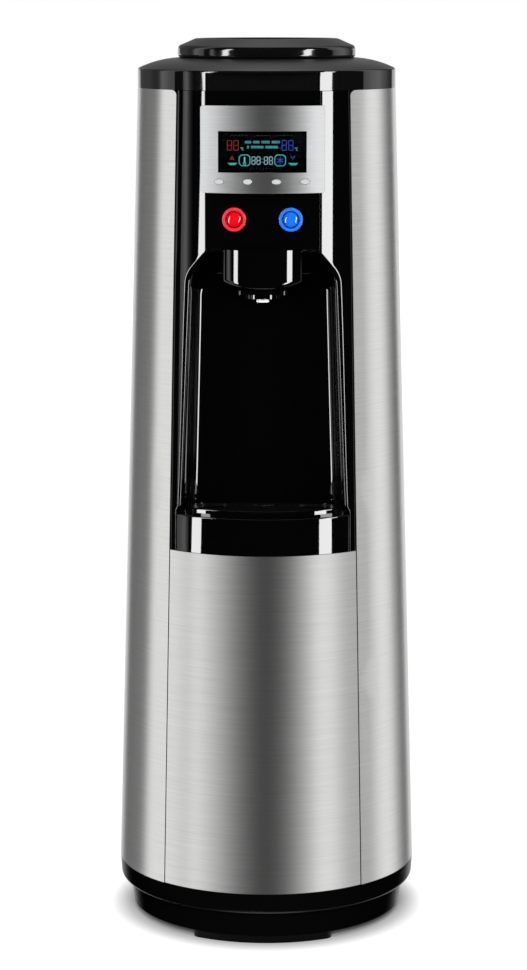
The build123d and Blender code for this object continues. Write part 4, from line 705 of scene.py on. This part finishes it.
capProfile = [(0, push["lipBack"]), (push["lip"], push["lipBack"]), (push["lip"], push["lipFront"]),
              (push["radius"], push["lipFront"])]
for step in range(push["domeSteps"] + 1):
    radius = push["radius"] * (1 - step / push["domeSteps"])
    capProfile.append((radius, push["apex"] - push["dome"] + math.sqrt(push["dome"] ** 2 - radius ** 2)))
shadowGapEdge = shadowGapRing["high"] - shadowGapRing["round"]
shadowGapProfile = [(shadowGapRing["inner"], shadowGapRing["low"]), (shadowGapRing["inner"], shadowGapEdge),
               (shadowGapRing["inner"] + shadowGapRing["round"], shadowGapRing["high"]), (shadowGapRing["outer"] - shadowGapRing["round"], shadowGapRing["high"]),
               (shadowGapRing["outer"], shadowGapEdge), (shadowGapRing["outer"], shadowGapRing["low"])]
# painted shade: a dull, nearly black ring darkening the gap round each cap
shadowGapMaterial = mouldedPlastic("paintedShadowGap", "180A0E", roughness=0.6, grainMm=0.6, bump=0.2, spread=0.08)
for word, side, material, slot in (("hot", -1, absRed, "red_cap"), ("cold", 1, absBlue, "blue_cap")):
    cap = turnedPiece(word + "ButtonCap", capProfile, side, material, word + "_button")
    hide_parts(word + "_button")
    # a dark ring in the gap round the cap: painted shade
    turnedPiece(word + "ButtonShadowGap", shadowGapProfile, side, shadowGapMaterial, "cabinet")
print("buttons built")

# display: a flat dark panel behind the window, with lit segments; strokes are given by both ends and a
# width, digits by their low left corner, size and stroke, rings also by how far their corners are cut
display = {"wide": 90.0, "tall": 39.0, "centreZ": 879.0, "facetY": -130.39, "ahead": 6.15,
           "red": "8E2A1E", "blue": "3350C8", "cyan": "5AD0C8", "pale": "9FC9CC", "dim": "20403F",
           "inkThick": 0.12, "digitLow": 1.4, "digit": (4.8, 10.4, 0.62), "clockLow": -13.6,
           "clockDigit": (3.5, 8.0, 0.75), "frameLow": -15.2, "frame": (11.6, 11.6, 2.4, 0.7),
           "figure": (1.45, 2.1, 0.3, 0.42), "figureStep": 2.2, "panelCut": 0.4}
panelCentre = Vector((0, display["facetY"], display["centreZ"])) + facetOut * display["ahead"]


def onPanel(x, y, lift):
    return (panelCentre + Vector((x, 0, 0)) + facetUp * y + facetOut * lift) / 1000


def joinLoops(shape, loops):
    for loop, other in zip(loops, loops[1:]):
        for index in range(len(loop)):
            after = (index + 1) % len(loop)
            shape.faces.new((loop[index], loop[after], other[after], other[index]))


def stroke(shape, x0, y0, x1, y1, width):
    start, end = Vector((x0, y0)), Vector((x1, y1))
    run = (end - start).normalized()
    side = Vector((-run.y, run.x)) * width / 2
    tip = run * width / 2
    outline = [start, start + tip + side, end - tip + side, end, end - tip - side, start + tip - side]
    low, high = [[shape.verts.new(onPanel(p.x, p.y, lift)) for p in outline]
                 for lift in (0.0, display["inkThick"])]
    shape.faces.new(high)
    shape.faces.new(low[::-1])
    joinLoops(shape, [low, high])


def digit(shape, x, y, wide, tall, width):
    left, right, low, high, middle = x, x + wide, y, y + tall, y + tall / 2
    gap = width * 0.2  # keeps the ends of the segments apart
    for x0, y0, x1, y1 in ((left, high, right, high), (left, middle, right, middle), (left, low, right, low),
                           (left, middle, left, high), (right, middle, right, high),
                           (left, low, left, middle), (right, low, right, middle)):
        if x0 == x1:
            stroke(shape, x0, y0 + gap, x1, y1 - gap, width)
        else:
            stroke(shape, x0 + gap, y0, x1 - gap, y1, width)


def octagon(shape, x, y, wide, tall, cut, lift):
    points = [(x + cut, y), (x + wide - cut, y), (x + wide, y + cut), (x + wide, y + tall - cut),
              (x + wide - cut, y + tall), (x + cut, y + tall), (x, y + tall - cut), (x, y + cut)]
    return [shape.verts.new(onPanel(*point, lift)) for point in points]


def ring(shape, x, y, wide, tall, cut, width):
    half, slant = width / 2, 0.29 * width  # slanted sides come out as wide as straight ones
    low, high = 0.0, display["inkThick"]
    outer = [octagon(shape, x - half, y - half, wide + width, tall + width, cut + slant, lift)
             for lift in (low, high)]
    inner = [octagon(shape, x + half, y + half, wide - width, tall - width, max(cut - slant, 0.1), lift)
             for lift in (high, low)]
    joinLoops(shape, [*outer, *inner, outer[0]])


def celsius(shape, x, y):
    ring(shape, x, y + 2.2, 1.0, 1.0, 0.3, 0.35)
    for x0, y0, x1, y1 in ((x + 1.7, y, x + 3.2, y), (x + 1.6, y + 0.1, x + 1.6, y + 2.5),
                           (x + 1.7, y + 2.6, x + 3.2, y + 2.6)):
        stroke(shape, x0, y0, x1, y1, 0.45)


def buildSegments(name, hexColour, strength, draw):
    shape = bmesh.new()
    draw(shape)
    bmesh.ops.recalc_face_normals(shape, faces=shape.faces[:])
    material, tree, shader, place = newMaterial(name + "Ink")  # backlit film, printed
    flicker = addNode(tree, "ShaderNodeTexNoise", {"Scale": 1000 / 6, "Detail": 1.0}, {"Vector": place})
    glow = addNode(tree, "ShaderNodeMapRange", {"To Min": strength * 0.75, "To Max": strength * 1.25},
                   {"Value": flicker.outputs["Fac"]})
    ink = linear(hexColour)
    setSockets(shader, {"Base Color": ink, "Emission Color": ink, "Roughness": 0.5})
    tree.links.new(glow.outputs["Result"], shader.inputs["Emission Strength"])
    piece = meshObject(name, shape, material)
    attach(piece, "cabinet")


def drawRed(shape):
    for x in (-37.5, -30.5):
        digit(shape, x, display["digitLow"], *display["digit"])
    for x0, x1, y in ((-35.0, -30.0, -8.0), (-34.0, -31.0, -6.6), (-33.2, -31.8, -5.2)):
        stroke(shape, x0, y, x1, y, 0.8)


def drawBlue(shape):
    for x in (21.0, 28.0):
        digit(shape, x, display["digitLow"], *display["digit"])
    starX, starY, arm = 19.0, -9.5, 4
    for degrees in (30, 90, 150):
        angle = math.radians(degrees)
        across, up = arm * math.cos(angle), arm * math.sin(angle)
        stroke(shape, starX - across, starY - up, starX + across, starY + up, 0.7)
    for x, y in ((31.0, -5.4), (32.6, -7.0), (34.2, -5.4)):
        stroke(shape, x, y - 1.2, x, y + 1.2, 0.6)


def drawCyan(shape):
    for x in (-23.2, 34.8):
        celsius(shape, x, display["digitLow"])
    for row, groups in ((9.0, (3, 3, 4, 4)), (3.7, (1, 6, 6))):  # two lines of small plain figures
        x = 0.4 - display["figureStep"] / 2 * (sum(groups) + len(groups) - 1)
        for count in groups:
            for place in range(count):
                ring(shape, x, row, *display["figure"])
                x += display["figureStep"]
            x += display["figureStep"]
    for x in (-24.8, 13.2):
        ring(shape, x, display["frameLow"], *display["frame"])
    stroke(shape, -19.0, -12.6, -19.0, -5.6, 1.5)  # a thermometer
    ring(shape, -20.4, -14.2, 2.8, 2.8, 0.9, 0.6)
    for x in (-37.0, 28.0):
        stroke(shape, x, -12.6, x + 10, -12.6, 0.8)
        stroke(shape, x + 1.6, -14.0, x + 8.4, -14.0, 0.8)


def drawPale(shape):
    for x in (-11.2, -5.9, 2.0, 7.3):
        digit(shape, x, display["clockLow"], *display["clockDigit"])
    for y in (-11.2, -8.0):
        stroke(shape, -0.8, y, 0.2, y, 0.8)


def drawDim(shape):
    for index in range(17):
        if index not in (5, 6, 11):
            x = -34.0 + 4.0 * index
            stroke(shape, x, 17.2, x + 2.4, 17.2, 0.7)
    for index in range(13):
        x = -24.0 + 3.6 * index
        stroke(shape, x, -18.6, x, -17.0, 0.9)


buildSegments("displayRed", display["red"], strength=0.8, draw=drawRed)
buildSegments("displayBlue", display["blue"], strength=0.8, draw=drawBlue)
buildSegments("displayCyan", display["cyan"], strength=0.75, draw=drawCyan)
buildSegments("displayPale", display["pale"], strength=0.7, draw=drawPale)
buildSegments("displayDim", display["dim"], strength=0.5, draw=drawDim)

shape = bmesh.new()
loops = []
for inset, lift in ((0.2, -0.12), (0.2, -0.05), (0.35, -0.02)):  # bevelled front edge, cut corners
    wide, tall = display["wide"] - 2 * inset, display["tall"] - 2 * inset
    loops.append(octagon(shape, -wide / 2, -tall / 2, wide, tall, display["panelCut"], lift))
joinLoops(shape, loops)
shape.faces.new(loops[-1])
shape.faces.new(loops[0][::-1])
bmesh.ops.recalc_face_normals(shape, faces=shape.faces[:])
# polariser film, laminated: near black with a faint blue cast
polariserFilm = mouldedPlastic("polariserFilm", "020204", roughness=0.12, grainMm=3.0, bump=0,
                               spread=0.03, ior=1.2)
panel = meshObject("displayPanel", shape, polariserFilm)
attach(panel, "cabinet")
print("display built")
